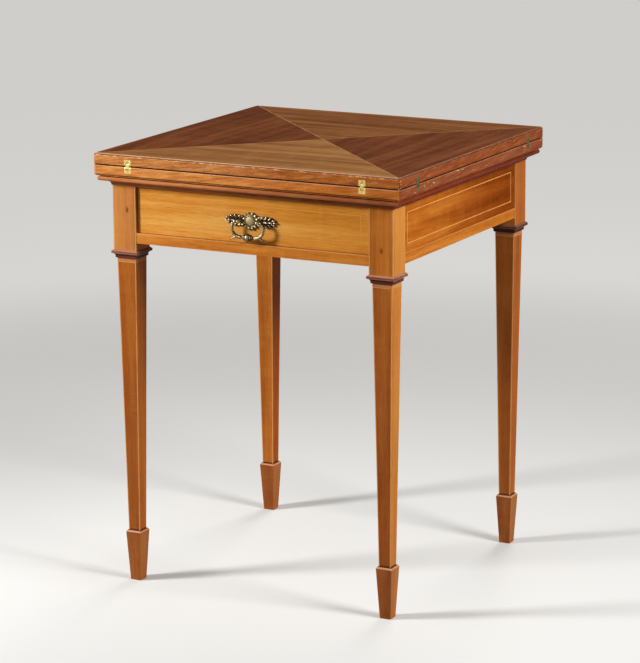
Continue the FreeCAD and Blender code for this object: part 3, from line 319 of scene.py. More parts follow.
@dataclass(frozen=True)
class Wood:
    """A polished or bare wood."""

    name: str
    shades: Shades
    grain: Grain
    seed: float
    extra: Extra = Extra.PLAIN
    pore: float = 0.36
    figure: float = 1.0
    shimmer: float = 0.2
    rough: float = 0.36
    coat: float = 0.08
    gloss: float = 0.02
    edge: Shades = ("824622", "ba763e", "d8a268")
    flank: Shades = ("6c3016", "8a4724", "a66238")

    def build(self) -> Material:
        """Make the material.

        Returns:
            The wood with its figure, fibres, pores and what it carries.
        """
        shader = Shader(self.name)
        where = self.grain.lay(shader)
        figure = shader.noise((2.6, 34, 34), self.seed, detail=3, bend=0.55, where=where)
        streak = shader.noise((4.5, 170, 170), self.seed + 3, detail=3, rough=0.6, where=where)
        fibre = shader.noise((26, 900, 900), self.seed + 5, detail=2, rough=0.6, where=where)
        fleck = shader.noise((42, 1700, 1700), self.seed + 9, detail=1, where=where)
        shimmer = shader.noise((38, 11, 11), self.seed + 13, detail=2, bend=0.4, where=where)
        pores = fleck.rise(0.56, 0.7)
        tone = (figure - 0.5) * (1.3 * self.figure) + (streak - 0.5) * 0.45 + (fibre - 0.5) * 0.3 + 0.5
        shader.colour = shader.ramp(tone, (0.12, 0.5, 0.88), self.shades)
        shader.tint(shimmer.rise(0.42, 0.72) * self.shimmer, self.shades[2])
        shader.tint(pores * self.pore, self.shades[0], "MULTIPLY")
        shader.rough = self.rough + pores * 0.2 + (streak - 0.5) * 0.12
        if self.extra is not Extra.PLAIN:
            self.dress(shader)
        return shader.finish(fibre * 0.5 - pores, relief=0.00018, strength=0.45, Coat_Weight=self.coat,
                             Coat_Roughness=0.22, Specular_IOR_Level=self.gloss)

    def dress(self, shader: Shader) -> None:
        """Lay over the grain what this piece carries, with painted highlights and painted shade on some pieces.

        Args:
            shader: The material's tree.
        """
        scuff = shader.noise((55, 55, 140), self.seed + 21, detail=4, rough=0.65)
        if self.extra in (Extra.LEAF, Extra.BED):
            self.edges(shader, scuff)
        elif self.extra is Extra.STILE:
            self.stile(shader, scuff)
        elif self.extra is Extra.COLLAR:
            down = COLLAR_HIGH - shader.z
            # Painted highlight, broken by wear, on the sloped top of the collar.
            shader.tint(down.rise(0.0031, 0.0024) * (0.15 + scuff * 0.7), "bd8c72")
            # Painted highlight, broken by wear, along the lower edge of the collar's projecting band.
            bead = down.rise(0.0051, 0.0056) * down.rise(0.0067, 0.0063)
            shader.tint(bead * (0.1 + scuff * 0.7), "b48870")
            # Painted shade in the cove under the projecting band.
            shader.tint(down.rise(0.0066, 0.0072) * 0.8, "5a2a1a")
            # Painted shade: the collars at the back are darker.
            shader.tint(shader.y.rise(-0.1, 0.1) * 0.6, "8a6858", "MULTIPLY")
        elif self.extra is Extra.FOOT:
            down = FOOT_HIGH - shader.z
            # Painted light: the sides of the feet are lighter.
            shader.tint(abs(shader.split("Normal")[0]).rise(0.6, 0.8) * 0.5, "c87c38")
            # Painted highlight, broken by wear, on the sloped ledge at the top of the foot.
            ledge = down.rise(0.0034, 0.0027) * down.rise(0.0004, 0.001)
            shader.tint(ledge * (0.2 + scuff * 0.7), "cfa080")
            shader.tint(down.rise(0.0007, 0.0003) * 0.8, "2c1408")
        elif self.extra is Extra.CORNICE:
            # Painted shade: the upright faces on the left and right are darker, and the front and back darken towards
            # the right.
            sides = shader.sideways() * abs(shader.split("Normal")[2]).rise(0.97, 0.85)
            shader.tint(sides, "b07a66", "MULTIPLY")
            shader.tint(shader.x.rise(-0.1, 0.22) * (1 - sides), "d6cad0", "MULTIPLY")
        elif self.extra is Extra.APRON:
            # Painted shade: the aprons are darker towards the back.
            shader.tint(shader.y.rise(-0.16, 0.2) * 0.8, "b28c78", "MULTIPLY")
        elif self.extra is Extra.RAIL:
            # Painted highlight along the top edge of the rail and of the edge strips.
            shader.tint(shader.z.rise(*RAIL_HIGHLIGHT) * 0.3, "e6bd80")

    def edges(self, shader: Shader, scuff: Signal) -> None:
        """The edges of a leaf or the bed: cross banding, chips, painted shade that darkens the front and back edges
        towards the right, and a painted highlight broken by wear where leaf and bed meet.

        Args:
            shader: The material's tree.
            scuff: Wear pattern.
        """
        x, y, z = shader.x, shader.y, shader.z
        edge = abs(shader.split("Normal")[2]).rise(0.75, 0.45)
        out = abs(x).either(abs(y))
        sides = shader.sideways()
        along = y * sides + x * (1 - sides)
        slant = shader.point(along + z * 0.9, z - along * 0.12, out)
        band = shader.noise((24, 190, 1), self.seed + 31, detail=4, rough=0.62, where=slant)
        short = shader.noise((290, 1200, 1), self.seed + 33, detail=2, where=slant).rise(0.5, 0.66)
        face, flank = (shader.mix(short * share, shader.ramp(band, (0.25, 0.52, 0.8), shades), shades[0])
                       for share, shades in ((0.58, self.edge), (0.5, self.flank)))
        # Painted shade: the front and back edges darken towards the right.
        face = shader.mix(x.rise(-0.06, 0.12), face, "e9d4b8", "MULTIPLY")
        shader.tint(edge, shader.mix(sides, face, flank))
        dots = shader.noise((90, 90, 400), self.seed + 35, detail=2)
        patch = shader.noise((17, 17, 17), self.seed + 37, detail=1).rise(0.48, 0.58)
        chip = dots.rise(0.64, 0.69) * scuff.rise(0.42, 0.58) * patch * edge * sides
        shader.tint(chip * 0.85, "e0b878")
        # Painted highlight, broken by wear, along the edges where leaf and bed meet, weaker on the sides.
        lip = abs(z - JOINT_LEVEL).rise(0.0021, 0.0014) * edge * (1 - sides * 0.5)
        shader.tint(lip * (0.1 + scuff * 0.6), "e4bc94")
        shader.rough = shader.rough + chip * 0.3 + edge * 0.06
        if self.extra is Extra.LEAF:
            self.nosing(shader, scuff, TOP_HALF - out, sides)

    def nosing(self, shader: Shader, scuff: Signal, inside: Signal, sides: Signal) -> None:
        """The moulded edge of a leaf: a painted highlight broken by wear on the nose, painted shade in the quirk, a
        painted highlight on the arris, and the line between two leaves.

        Args:
            shader: The material's tree.
            scuff: Wear pattern.
            inside: Distance in from the edge of the top.
            sides: 1 on the left and right leaves.
        """
        down = TOP_LEVEL - shader.z
        rub = shader.noise((170, 170, 500), self.seed + 39, detail=3, rough=0.6).rise(0.44, 0.66)
        # Painted highlight, broken into specks by wear, on the rounded nose, mostly at the front and back.
        nose = inside.rise(0.0022, 0.0014) * down.rise(0.0038, 0.003) * rub * scuff.rise(0.34, 0.6)
        shader.tint(nose * (1 - sides * 0.9) * 0.7, "e6bf9a")
        # Painted shade in the quirk and painted highlight on the arris, both broken by wear and weaker on the sides.
        arris = inside.rise(0.0048, 0.0036) * down.rise(0.0013, 0.001)
        quirk = inside.rise(0.0033, 0.003) * down.rise(0.0024, 0.0019) * down.rise(0.001, 0.0013)
        shader.tint(quirk * (0.85 - scuff * 0.5) * (1 - sides * 0.65), "40200f")
        shader.tint(arris * (0.2 + scuff * 0.9) * (1 - sides * 0.78), "dcb898")
        line = abs(abs(shader.x) - abs(shader.y)).rise(0.0021, 0.0009) * down.rise(0.0015, 0.0005)
        shader.tint(line * (0.1 + scuff * 0.6), "b89468")
        shader.rough = shader.rough + line * 0.15 + arris * 0.1

    def stile(self, shader: Shader, scuff: Signal) -> None:
        """A leg's curly ripple, its neck and heel, the stile's pale border, dark line and knots, and painted shade and
        light that darken its fronts and lighten its sides.

        Args:
            shader: The material's tree.
            scuff: Wear pattern.
        """
        x, y, z = shader.x, shader.y, shader.z
        flank, face = (abs(part).rise(0.6, 0.8) for part in shader.split("Normal")[:2])
        across = abs(abs(x) - STILE_CENTRE) * face + abs(abs(y) - STILE_CENTRE) * flank
        upper = z.rise(*STILE_LOW)
        far = y.rise(-0.16, 0.2)
        left = x.rise(0.0, -0.1)
        # Painted shade: the front and back faces are darkened, most low down on the legs, less on the stiles and on
        # the back left leg.
        wear_and_shade = (1 - upper * 0.75) * (1 - far * left * 0.7) * (1 - z.rise(0.28, 0.52) * 0.4)
        shader.tint(face * wear_and_shade, "cfb9c8", "MULTIPLY")
        curly = shader.noise((30, 30, 11), self.seed + 47, detail=1).rise(0.4, 0.64)
        ripple = shader.noise((55, 55, 430), self.seed + 43, detail=3, bend=0.5).rise(0.48, 0.7)
        shader.tint(ripple * curly * face * (1 - upper) * 0.34, "7c431a")
        # Painted light: the sides are lighter, more on the stiles.
        shader.tint((1 - face) * (0.18 + upper * 0.2), self.shades[2])
        # Painted shade: the sides of the back legs are darker.
        shader.tint((1 - face) * far * 0.8, "e2bd90", "MULTIPLY")
        # Painted shade: the sides of the left legs are darker below the stiles.
        shader.tint((1 - face) * (1 - upper) * left * 0.8, "f8d8c4", "MULTIPLY")
        # Painted light: the front face of the front left stile is lighter.
        shader.tint(upper * face * (1 - far) * left * 0.1, "e0b888")
        neck = z.rise(COLLAR_LOW - 0.006, COLLAR_LOW - 0.0055) * z.rise(COLLAR_LOW + 0.0008, COLLAR_LOW + 0.0002)
        shader.tint(neck * (0.15 + scuff * 0.4), "d8a078")
        shader.tint(z.rise(FOOT_HIGH + 0.0028, FOOT_HIGH + 0.0014) * 0.75, "3a1a0a")
        shader.tint(across.rise(0.0187, 0.0191) * upper * 0.3, "dcae6c")
        shader.tint(across.rise(0.0178, 0.0181) * across.rise(0.0189, 0.0186) * upper * 0.45, "5a3214")
        front = y.rise(-0.25, -0.2565) * scuff.rise(0.2, 0.55)
        for side, level in KNOTS:
            away = ((x - side) * (x - side) + (z - level) * (z - level) * 0.35).math("SQRT")
            shader.tint(away.rise(KNOT_SIZE, KNOT_SIZE * 0.25) * front * 0.75, "4a220c")


@dataclass(frozen=True)
class Inlay:
    """Pale stringing let into the wood."""

    name: str
    grain: Grain
    shade: str
    dirt: str

    def build(self) -> Material:
        """Make the material.

        Returns:
            Pale wood with short dark joins and dirt in places.
        """
        shader = Shader(self.name)
        where = self.grain.lay(shader)
        tone = shader.noise((30, 900, 900), 2.0, detail=3, rough=0.6, where=where)
        wear_and_shade = shader.noise((22, 22, 22), 4.0, detail=4, rough=0.65, where=where)
        shader.colour = shader.ramp(tone, (0.2, 0.5), (self.dirt, self.shade))
        shader.tint(wear_and_shade.rise(0.55, 0.75) * 0.6, self.dirt)
        shader.rough = 0.34 + tone * 0.2
        return shader.finish(tone, relief=0.0001, strength=0.3, Coat_Weight=0.06, Specular_IOR_Level=0.1)


class Metal(Enum):
    """The state of a metal piece."""

    CAST = "cast and rubbed on its high places"
    HINGE = "bright at the front and tarnished elsewhere"
    TURNED = "turned"
    IRON = "steel of the swivel"


@dataclass(frozen=True)
class Fitting:
    """Aged brass or steel."""

    name: str
    state: Metal
    bright: str = "bb9f72"
    dull: str = "58482e"
    deep: str = "17120a"

    def build(self) -> Material:
        """Make the material.

        Returns:
            Metal with tarnish, dirt in its hollows and fine scratches, and on the cast handle painted shade and
            painted highlights.
        """
        shader = Shader(self.name)
        cloud = shader.noise((160, 160, 160), 1.0, detail=4, rough=0.6)
        grit = shader.noise((900, 900, 900), 2.0, detail=3, rough=0.65)
        scratch = shader.noise((2500, 300, 300), 3.0, detail=1)
        shader.colour = shader.ramp(cloud, (0.25, 0.7), (self.dull, self.bright))
        shader.rough = 0.24 + cloud * 0.2 + grit * 0.12
        metallic: Value = 1.0
        if self.state is Metal.CAST:
            metallic = self.cast(shader, grit)
        elif self.state is Metal.HINGE:
            away = 1 - shader.y.rise(*HINGE_FRONT)
            green = away * (0.55 + cloud * 0.75)
            shader.tint(green, "4c482c")
            shader.tint(grit.rise(0.6, 0.75) * 0.55, self.deep)
            shader.rough = shader.rough + away * 0.22
            metallic = 1 - green.math("MINIMUM", 1.0) * 0.45
        return shader.finish(grit * 0.6 + scratch * 0.4, relief=0.00006, strength=0.5, Metallic=metallic)

    def cast(self, shader: Shader, grit: Signal) -> Signal:
        """Rub the high places of the handle, lay dirt in its hollows, painted shade on its undersides and turned-away
        faces, a painted highlight on its front crests, and stains over its bail.

        Args:
            shader: The material's tree.
            grit: Fine pattern.

        Returns:
            How metallic each place is.
        """
        x, y, z = shader.x, shader.y, shader.z
        back, up = shader.split("Normal")[1:]
        front = 0 - back
        high = Signal(shader, shader.add("ShaderNodeAttribute", {"attribute_name": "relief"}).outputs["Fac"])
        low = (DRAWER_FACE - y).rise(0.0034, 0.0014)
        # Painted shade on the undersides, which goes in with the dirt in the hollows.
        underside_shade = up.rise(0.1, -0.75)
        hollow_dirt_and_underside_shade = (high + (grit - 0.5) * 0.2).rise(0.42, 0.14).either(low * 0.92).either(underside_shade * 0.6)
        shader.tint(high.rise(0.6, 0.95) * 0.7, PALE_BRASS)
        # Painted shade on the faces that turn away from the front.
        shader.tint((1 - front.rise(0.05, 0.75)) * 0.8, "2b2417")
        out = (x * x + (z - HANDLE_LEVEL) * (z - HANDLE_LEVEL)).math("SQRT")
        ring = out.rise(0.0168, 0.0138)
        stain = shader.noise((360, 520, 520), 7.0, detail=4, rough=0.62).rise(0.42, 0.68)
        shader.tint(stain * (0.62 - ring * 0.35), "2a2316")
        shader.tint(ring * 0.3, "c8b48a")
        # Painted highlight, together with rubbing, on the front-facing crests.
        shader.tint(front.rise(0.6, 0.92) * (1 - ring) * (1 - stain) * 0.5, PALE_BRASS)
        mottle = shader.noise((300, 300, 300), 9.0, detail=3, rough=0.6).rise(0.48, 0.57)
        shader.tint(mottle * y.rise(*BAIL_FRONT) * 0.75, "33291a")
        # Dirt in the hollows together with the painted shade on the undersides.
        shader.tint(hollow_dirt_and_underside_shade, self.deep)
        shader.tint(out.rise(0.008, 0.0084) * out.rise(0.0097, 0.009) * 0.7, "3a3222")
        button = out.rise(0.0083, 0.0078)
        shader.tint(button * 0.75, "988964")
        shader.rough = shader.rough + hollow_dirt_and_underside_shade * 0.35 + button * 0.26
        return 1 - hollow_dirt_and_underside_shade * 0.75


@dataclass(frozen=True)
class Cloth:
    """Napped woollen cloth."""

    name: str
    shades: Shades
    wear_and_shade: float = 0.3

    def build(self) -> Material:
        """Make the material.

        Returns:
            Cloth with nap, faint brush marks and rubbed places.
        """
        shader = Shader(self.name)
        nap = shader.noise((2600, 2600, 2600), 1.0, detail=2, rough=0.7)
        brush = shader.noise((90, 420, 90), 2.0, detail=3, rough=0.6)
        rub = shader.noise((7, 7, 7), 3.0, detail=4, rough=0.6)
        shader.colour = shader.ramp(nap * 0.6 + brush * 0.4, (0.25, 0.5, 0.8), self.shades)
        shader.tint(rub.rise(0.5, 0.75) * self.wear_and_shade, self.shades[2])
        shader.rough = 0.92 + nap * 0.06
        return shader.finish(nap, relief=0.0004, strength=0.6, Sheen_Weight=0.08, Sheen_Roughness=0.5,
                             Specular_IOR_Level=0.15)


def link_mesh(name: str, shape: Shape, material: Material) -> bpy.types.Object:
    """Make an object of a bmesh and put it in the scene.

    Args:
        name: The object's name.
        shape: Its shape, in metres in the table's frame.
        material: Its finish.

    Returns:
        The object.
    """
    mesh = bpy.data.meshes.new(name)
    shape.to_mesh(mesh)
    shape.free()
    mesh.materials.append(material)
    made = bpy.data.objects.new(name, mesh)
    bpy.context.scene.collection.objects.link(made)
    return made


def new_piece(name: str, shape: Shape, material: Material, body: str,
              smooth: bool = False) -> bpy.types.Object:
    """Make a piece of the table from a bmesh, dress it and set it riding.

    Args:
        name: The piece's name.
        shape: Its shape, in metres in the table's frame.
        material: Its finish.
        body: The body that it moves with.
        smooth: Whether it is shaded smooth.

    Returns:
        The object.
    """
    bmesh.ops.remove_doubles(shape, verts=shape.verts, dist=1e-6)
    bmesh.ops.recalc_face_normals(shape, faces=shape.faces)
    for face in shape.faces:
        face.smooth = smooth
    piece = link_mesh(name, shape, material)
    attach(piece, body)
    LOG.info("%s: %d faces on %s", name, len(piece.data.polygons), body)
    return piece


def mark_relief(shape: Shape, reach: float) -> None:
    """Write how far each vertex stands out of its neighbours, for the dirt in the hollows.

    Args:
        shape: The shape to mark.
        reach: The height that counts as full relief, in metres.
    """
    layer = shape.verts.layers.float.new("relief")
    bmesh.ops.recalc_face_normals(shape, faces=shape.faces)
    shape.normal_update()
    raw = {}
    for vert in shape.verts:
        near = [edge.other_vert(vert).co for edge in vert.link_edges]
        middle = sum(near, Vector()) / max(len(near), 1)
        raw[vert] = (vert.co - middle).dot(vert.normal)
    for vert in shape.verts:
        around = [raw[edge.other_vert(vert)] for edge in vert.link_edges]
        value = (raw[vert] + sum(around) / max(len(around), 1)) / 2
        vert[layer] = min(max(0.5 + value / reach, 0.0), 1.0)


def pick(geom: Sequence[Any], kind: type) -> list[Any]:
    """The vertices or the edges among what an operator gives back."""
    return [item for item in geom if isinstance(item, kind)]


def sized(points: Profile, size: float = 1.0) -> Profile:
    """A profile in millimetres, made larger or smaller and put in metres."""
    return [(radius * size * MM, height * size * MM) for radius, height in points]


def spin_profile(shape: Shape, points: Profile, place: Matrix, steps: int) -> list[Vert]:
    """Turn a profile round the local Z axis.

    Args:
        shape: The bmesh to add to.
        points: Radius and height of the profile, from the axis round to the axis.
        place: Where the turned piece goes.
        steps: Number of facets round it.

    Returns:
        The new vertices.
    """
    before = set(shape.verts)
    verts = [shape.verts.new((radius, 0, height)) for radius, height in points]
    edges = [shape.edges.new(pair) for pair in zip(verts, verts[1:])]
    bmesh.ops.spin(shape, geom=verts + edges, cent=(0, 0, 0), axis=(0, 0, 1), angle=math.tau, steps=steps,
                   use_merge=True, use_duplicate=False)
    made = [vert for vert in shape.verts if vert not in before]
    bmesh.ops.remove_doubles(shape, verts=made, dist=1e-7)
    made = [vert for vert in shape.verts if vert not in before]
    bmesh.ops.transform(shape, matrix=place, verts=made)
    return made


def sweep(shape: Shape, path: Sequence[Vector], radii: Sequence[float], segments: int = 16) -> None:
    """Draw a round section along a path in the plane of the bail.

    Args:
        shape: The bmesh to add to.
        path: Points of the centre line.
        radii: Radius at each point.
        segments: Facets round the section.
    """
    side = Vector((0, 1, 0))
    stations = []
    for index, (point, radius) in enumerate(zip(path, radii)):
        ahead = (path[min(index + 1, len(path) - 1)] - path[max(index - 1, 0)]).normalized()
        turn = Matrix((side.cross(ahead), side, ahead)).transposed().to_4x4()
        stations.append(Matrix.Translation(point) @ turn @ Matrix.Scale(radius, 4))
    ring = bmesh.ops.create_circle(shape, cap_ends=True, segments=segments, radius=1.0, matrix=stations[0])["verts"]
    edges = list({edge for vert in ring for edge in vert.link_edges})
    for last, now in zip(stations, stations[1:]):
        grown = bmesh.ops.extrude_edge_only(shape, edges=edges)["geom"]
        edges = pick(grown, Edge)
        bmesh.ops.transform(shape, matrix=now @ last.inverted(), verts=pick(grown, Vert))
    bmesh.ops.contextual_create(shape, geom=edges)


@dataclass
class Handle:
    """The cast plate with its button and leaves, and the drop bail."""

    face: float = DRAWER_FACE
    level: float = HANDLE_LEVEL
    pivot: float = -0.265
    lobes: int = 12
    bow: float = 0.0141
    drop: float = 0.025
    arm: float = 0.0235
    metal: Fitting = Fitting("cast_brass", Metal.CAST)

    def at(self, x: float, z: float, out: float) -> Matrix:
        """A place on the drawer's face, in millimetres right of, above and in front of the handle's middle."""
        spot = (x * MM, self.face - out * MM, self.level + z * MM)
        return Matrix.Translation(spot) @ Matrix.Rotation(math.pi / 2, 4, "X")

    @staticmethod
    def leaf(shape: Shape, place: Matrix, size: Place, teeth: int) -> None:
        """Add one cast leaf that lies along local X from its root.

        Args:
            shape: The bmesh to add to.
            place: Where its root goes.
            size: Its length, its width and the height of its ridge, in millimetres.
            teeth: Number of lobes along each edge.
        """
        length, width, height = (value * MM for value in size)
        made = bmesh.ops.create_grid(shape, x_segments=18, y_segments=10, size=0.5)["verts"]
        for vert in made:
            run, side = vert.co.x + 0.5, vert.co.y * 2
            swell = math.sin(math.pi * min(0.06 + 0.94 * run, 1.0) ** 0.75) ** 0.8 if run < 1 else 0.0
            notch = 1 - 0.26 * abs(side) * (0.5 + 0.5 * math.cos(math.tau * teeth * run))
            rib = math.exp(-(side / 0.16) ** 2) * 0.16
            vein = 0.09 * math.cos(math.tau * teeth * run) * abs(side)
            crown = (1 - side * side) ** 0.6 if abs(side) < 1 else 0.0
            lift = math.sin(math.pi * (0.12 + 0.8 * run)) ** 0.7
            curl = 0.35 * max(run - 0.7, 0) / 0.3
            vert.co = Vector((run * length, side * width / 2 * swell * notch,
                              height * (lift * (0.72 * crown + rib + vein * crown) + curl * 0.4 * crown)))
        rim = [edge for edge in {edge for vert in made for edge in vert.link_edges} if edge.is_boundary]
        grown = bmesh.ops.extrude_edge_only(shape, edges=rim)["geom"]
        low = pick(grown, Vert)
        for vert in low:
            vert.co.z = -0.6 * MM
        bmesh.ops.contextual_create(shape, geom=pick(grown, Edge))
        bmesh.ops.transform(shape, matrix=place, verts=list(set(made) | set(low)))

    def build_plate(self) -> Shape:
        """Model the plate.

        Returns:
            Roundel, button, ring of leaves and the two leafy arms.
        """
        shape = bmesh.new()
        roundel = [(0, 6.3), (2.5, 6.2), (5.0, 5.85), (7.0, 5.2), (7.9, 4.6), (8.25, 3.8), (8.65, 3.7), (9.0, 4.2),
                   (9.5, 4.3), (9.9, 3.9), (10.1, 3.0), (10.8, 2.4), (12.0, 2.1), (12.8, 1.7), (13.1, 0.9),
                   (13.1, -0.3), (0, -0.3)]
        spin_profile(shape, sized(roundel), self.at(0, 0, 0), 48)
        for index in range(self.lobes):
            turn = Matrix.Rotation(math.tau * (index + 0.5) / self.lobes, 4, "Z")
            root = self.at(0, 0, 1.7) @ turn @ Matrix.Translation((9.3 * MM, 0, 0))
            self.leaf(shape, root, (6.0, 7.4, 2.9), 2)
        bead = sized([(0, 1.0), (0.5, 0.85), (0.85, 0.5), (1.0, 0), (0.8, -0.6), (0, -0.9)], 0.75)
        for index in range(self.lobes * 2):
            turn = Matrix.Rotation(math.tau * index / (self.lobes * 2), 4, "Z")
            seat = turn @ Matrix.Translation((10.7 * MM, 0, 2.9 * MM))
            spin_profile(shape, bead, self.at(0, 0, 0) @ seat, 8)
        for sign in (-1, 1):
            self.build_arm(shape, sign)
        mark_relief(shape, 0.5 * MM)
        return shape

    def build_arm(self, shape: Shape, sign: int) -> None:
        """Add one arm of the plate.

        Args:
            shape: The bmesh to add to.
            sign: -1 for the left arm and 1 for the right.
        """
        heading = 0.0 if sign > 0 else math.pi
        for x, rise, turn, size in (
                (11.5, 4.6, 24, (9.0, 5.6, 3.6)), (17.0, 3.2, 36, (10.5, 6.2, 4.4)), (23.5, 3.6, 31, (10.5, 6.4, 5.2)),
                (30.5, 3.2, 28, (10.0, 6.0, 4.8)), (37.0, 2.2, 20, (8.4, 4.8, 3.8)), (14.0, 0, 0, (13, 5.6, 5.4)),
                (23.0, 0, 0, (14, 6.2, 6.4)), (32.0, 0, 0, (12, 5.6, 5.6)), (39.5, 0, 0, (10.6, 5.2, 4.2))):
            out, teeth = (0.4, 3) if rise else (0.6, 2)
            for up in (-1, 1) if rise else (0,):
                way = Matrix.Rotation(heading + sign * math.radians(up * turn), 4, "Z")
                self.leaf(shape, self.at(sign * x, up * rise, out) @ way, size, teeth)
        scroll = [(0, 1.0), (0.45, 0.9), (0.8, 0.62), (1.0, 0.2), (0.95, -0.3), (0.6, -0.7), (0, -0.8)]
        for x, rise, size in ((20.5, 7.2, 2.0), (28.5, 8.0, 1.9), (35.5, 6.6, 1.6), (43.0, 3.4, 1.5),
                              (30.0, 0, 2.1), (38.0, 0, 1.8)):
            for z in (rise, -rise) if rise else (0,):
                spin_profile(shape, sized(scroll, size), self.at(sign * x, z, 2.4 if rise else 4.6), 14)

    def build_bail(self) -> Shape:
        """Model the bail.

        Returns:
            The bent rod with its bead, collars, scrolls and spurs.
        """
        shape = bmesh.new()
        bar = self.level - self.drop
        for sign in (-1, 1):
            self.build_side(shape, sign, bar)
        half = [(1.6, 9.4), (2.9, 9.0), (3.4, 8.2), (3.0, 7.5), (2.0, 7.1), (3.6, 6.7), (4.9, 6.0), (5.0, 5.3),
                (4.0, 4.7), (2.8, 4.3), (4.2, 3.6), (5.5, 2.4), (6.1, 1.0)]
        bead = [(0, -9.4), *((r, -h) for r, h in half), (6.2, 0), *reversed(half), (0, 9.4)]
        spin_profile(shape, sized(bead),
                     Matrix.Translation((0, self.pivot, bar)) @ Matrix.Rotation(math.pi / 2, 4, "Y"), 28)
        mark_relief(shape, 1.3 * MM)
        return shape

    def build_side(self, shape: Shape, sign: int, bar: float) -> None:
        """Add one half of the bail: its rod, spur, scrolls and knuckle.

        Args:
            shape: The bmesh to add to.
            sign: -1 for the left half and 1 for the right.
            bar: Level of the bail's lower bar.
        """
        bend = self.arm - math.sqrt(self.drop * (2 * self.bow - self.drop))
        top = math.asin((self.drop - self.bow) / self.bow)
        bow_steps, spur_steps = 24, 12
        path, radii = [], []
        for step in range(bow_steps + 1):
            angle = top - (top + math.pi / 2) * step / bow_steps
            path.append(Vector((sign * (bend + self.bow * math.cos(angle)), self.pivot,
                                bar + self.bow + self.bow * math.sin(angle))))
            swell = math.sin(math.pi * max(step - 14, 0) / 20)
            radii.append((1.85 + 0.5 * math.sin(math.pi * step / bow_steps) + 1.25 * swell) * MM)
        for x, radius in ((13.2, 3.1), (11.8, 2.6), (10.8, 1.9), (10.0, 1.5), (5.0, 1.5)):
            path.append(Vector((sign * x * MM, self.pivot, bar)))
            radii.append(radius * MM)
        sweep(shape, path, radii)
        start, middle, tip = Vector((18.5, 0, 0.2)), Vector((26.5, 0, -0.6)), Vector((30.9, 0, -6.0))
        spur, sizes = [], []
        for step in range(spur_steps + 1):
            part = step / spur_steps
            point = start * (1 - part) ** 2 + middle * 2 * part * (1 - part) + tip * part ** 2
            spur.append(Vector((sign * point.x * MM, self.pivot, bar + point.z * MM)))
            sizes.append((2.3 - 1.55 * part) * MM)
        sweep(shape, spur, sizes, 12)
        ball = [(0, 1.0), (0.5, 0.86), (0.86, 0.5), (1.0, 0), (0.86, -0.5), (0.5, -0.86), (0, -1.0)]
        for x, z, size in ((30.9, -6.0, 1.05), (15.6, 1.9, 1.7)):
            spin_profile(shape, sized(ball, size), Matrix.Translation((sign * x * MM, self.pivot, bar + z * MM)), 12)
        knuckle = [(0, -2.4), (1.6, -2.3), (2.5, -1.4), (2.7, 0), (2.5, 1.4), (1.6, 2.3), (1.3, 2.6), (1.3, 8.4),
                   (0, 8.6)]
        inward = Matrix.Rotation(-sign * math.pi / 2, 4, "Y")
        spin_profile(shape, sized(knuckle),
                     Matrix.Translation((sign * self.arm, self.pivot, self.level)) @ inward, 16)

    def build(self) -> None:
        """Make the plate and the bail and put them in the place of their solids."""
        material = self.metal.build()
        plate = new_piece("cast_plate", self.build_plate(), material, "drawer", smooth=True)
        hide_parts("handle_plate")
        bail = new_piece("drop_bail", self.build_bail(), material, "bail", smooth=True)
        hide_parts("handle_bail")


@dataclass
class HingeScrews:
    """Slotted screw heads that hold the hinge plates."""

    corner: float = 0.066
    low: float = 0.7088
    high: float = 0.7242
    slot_half: float = 0.28
    slot_depth: float = 0.3
    metal: Fitting = Fitting("screw_brass", Metal.HINGE, bright="d9bc6a", dull="8d6f2c")

    def screw(self, shape: Shape, place: Matrix, turn: float) -> None:
        """Add one domed head with its slot.

        Args:
            shape: The bmesh to add to.
            place: Where its seat is, with local Z out of the plate.
            turn: How far the facets of the head are turned.
        """
        head = [(0, 0.1), (0.8, 0.09), (1.4, 0.06), (1.85, 0.01), (1.9, -0.5), (0, -0.5)]
        made = spin_profile(shape, sized(head), Matrix.Rotation(turn, 4, "Z"), 20)
        for side in (-self.slot_half, self.slot_half):
            geom = list({item for vert in made if vert.is_valid
                         for item in (vert, *vert.link_edges, *vert.link_faces)})
            cut = bmesh.ops.bisect_plane(shape, geom=geom, dist=1e-7, plane_co=(0, side * MM, 0), plane_no=(0, 1, 0))
            made = list({vert for vert in made if vert.is_valid} | set(pick(cut["geom"], Vert)))
        for vert in made:
            if abs(vert.co.y) < 0.2 * MM and vert.co.z > -0.1 * MM:
                vert.co.z -= self.slot_depth * MM
        bmesh.ops.transform(shape, matrix=place, verts=made)

    def build(self) -> None:
        """Make the heads of the bed and of each leaf."""
        material = self.metal.build()
        spot = TOP_HALF - self.corner
        bed = bmesh.new()
        for quarter, side in enumerate(SIDES):
            spin = Matrix.Rotation(quarter * math.pi / 2, 4, "Z")
            leaf = bmesh.new()
            for index, x in enumerate((-spot, spot)):
                for shape, level in ((bed, self.low), (leaf, self.high)):
                    seat = Matrix.Translation((x, -TOP_HALF, level)) @ Matrix.Rotation(math.pi / 2, 4, "X")
                    self.screw(shape, spin @ seat, 0.5 + 1.3 * index + quarter + level)
            new_piece(f"hinge_screws_leaf_{side}", leaf, material, f"leaf_{side}")
        new_piece("hinge_screws_bed", bed, material, "bed")


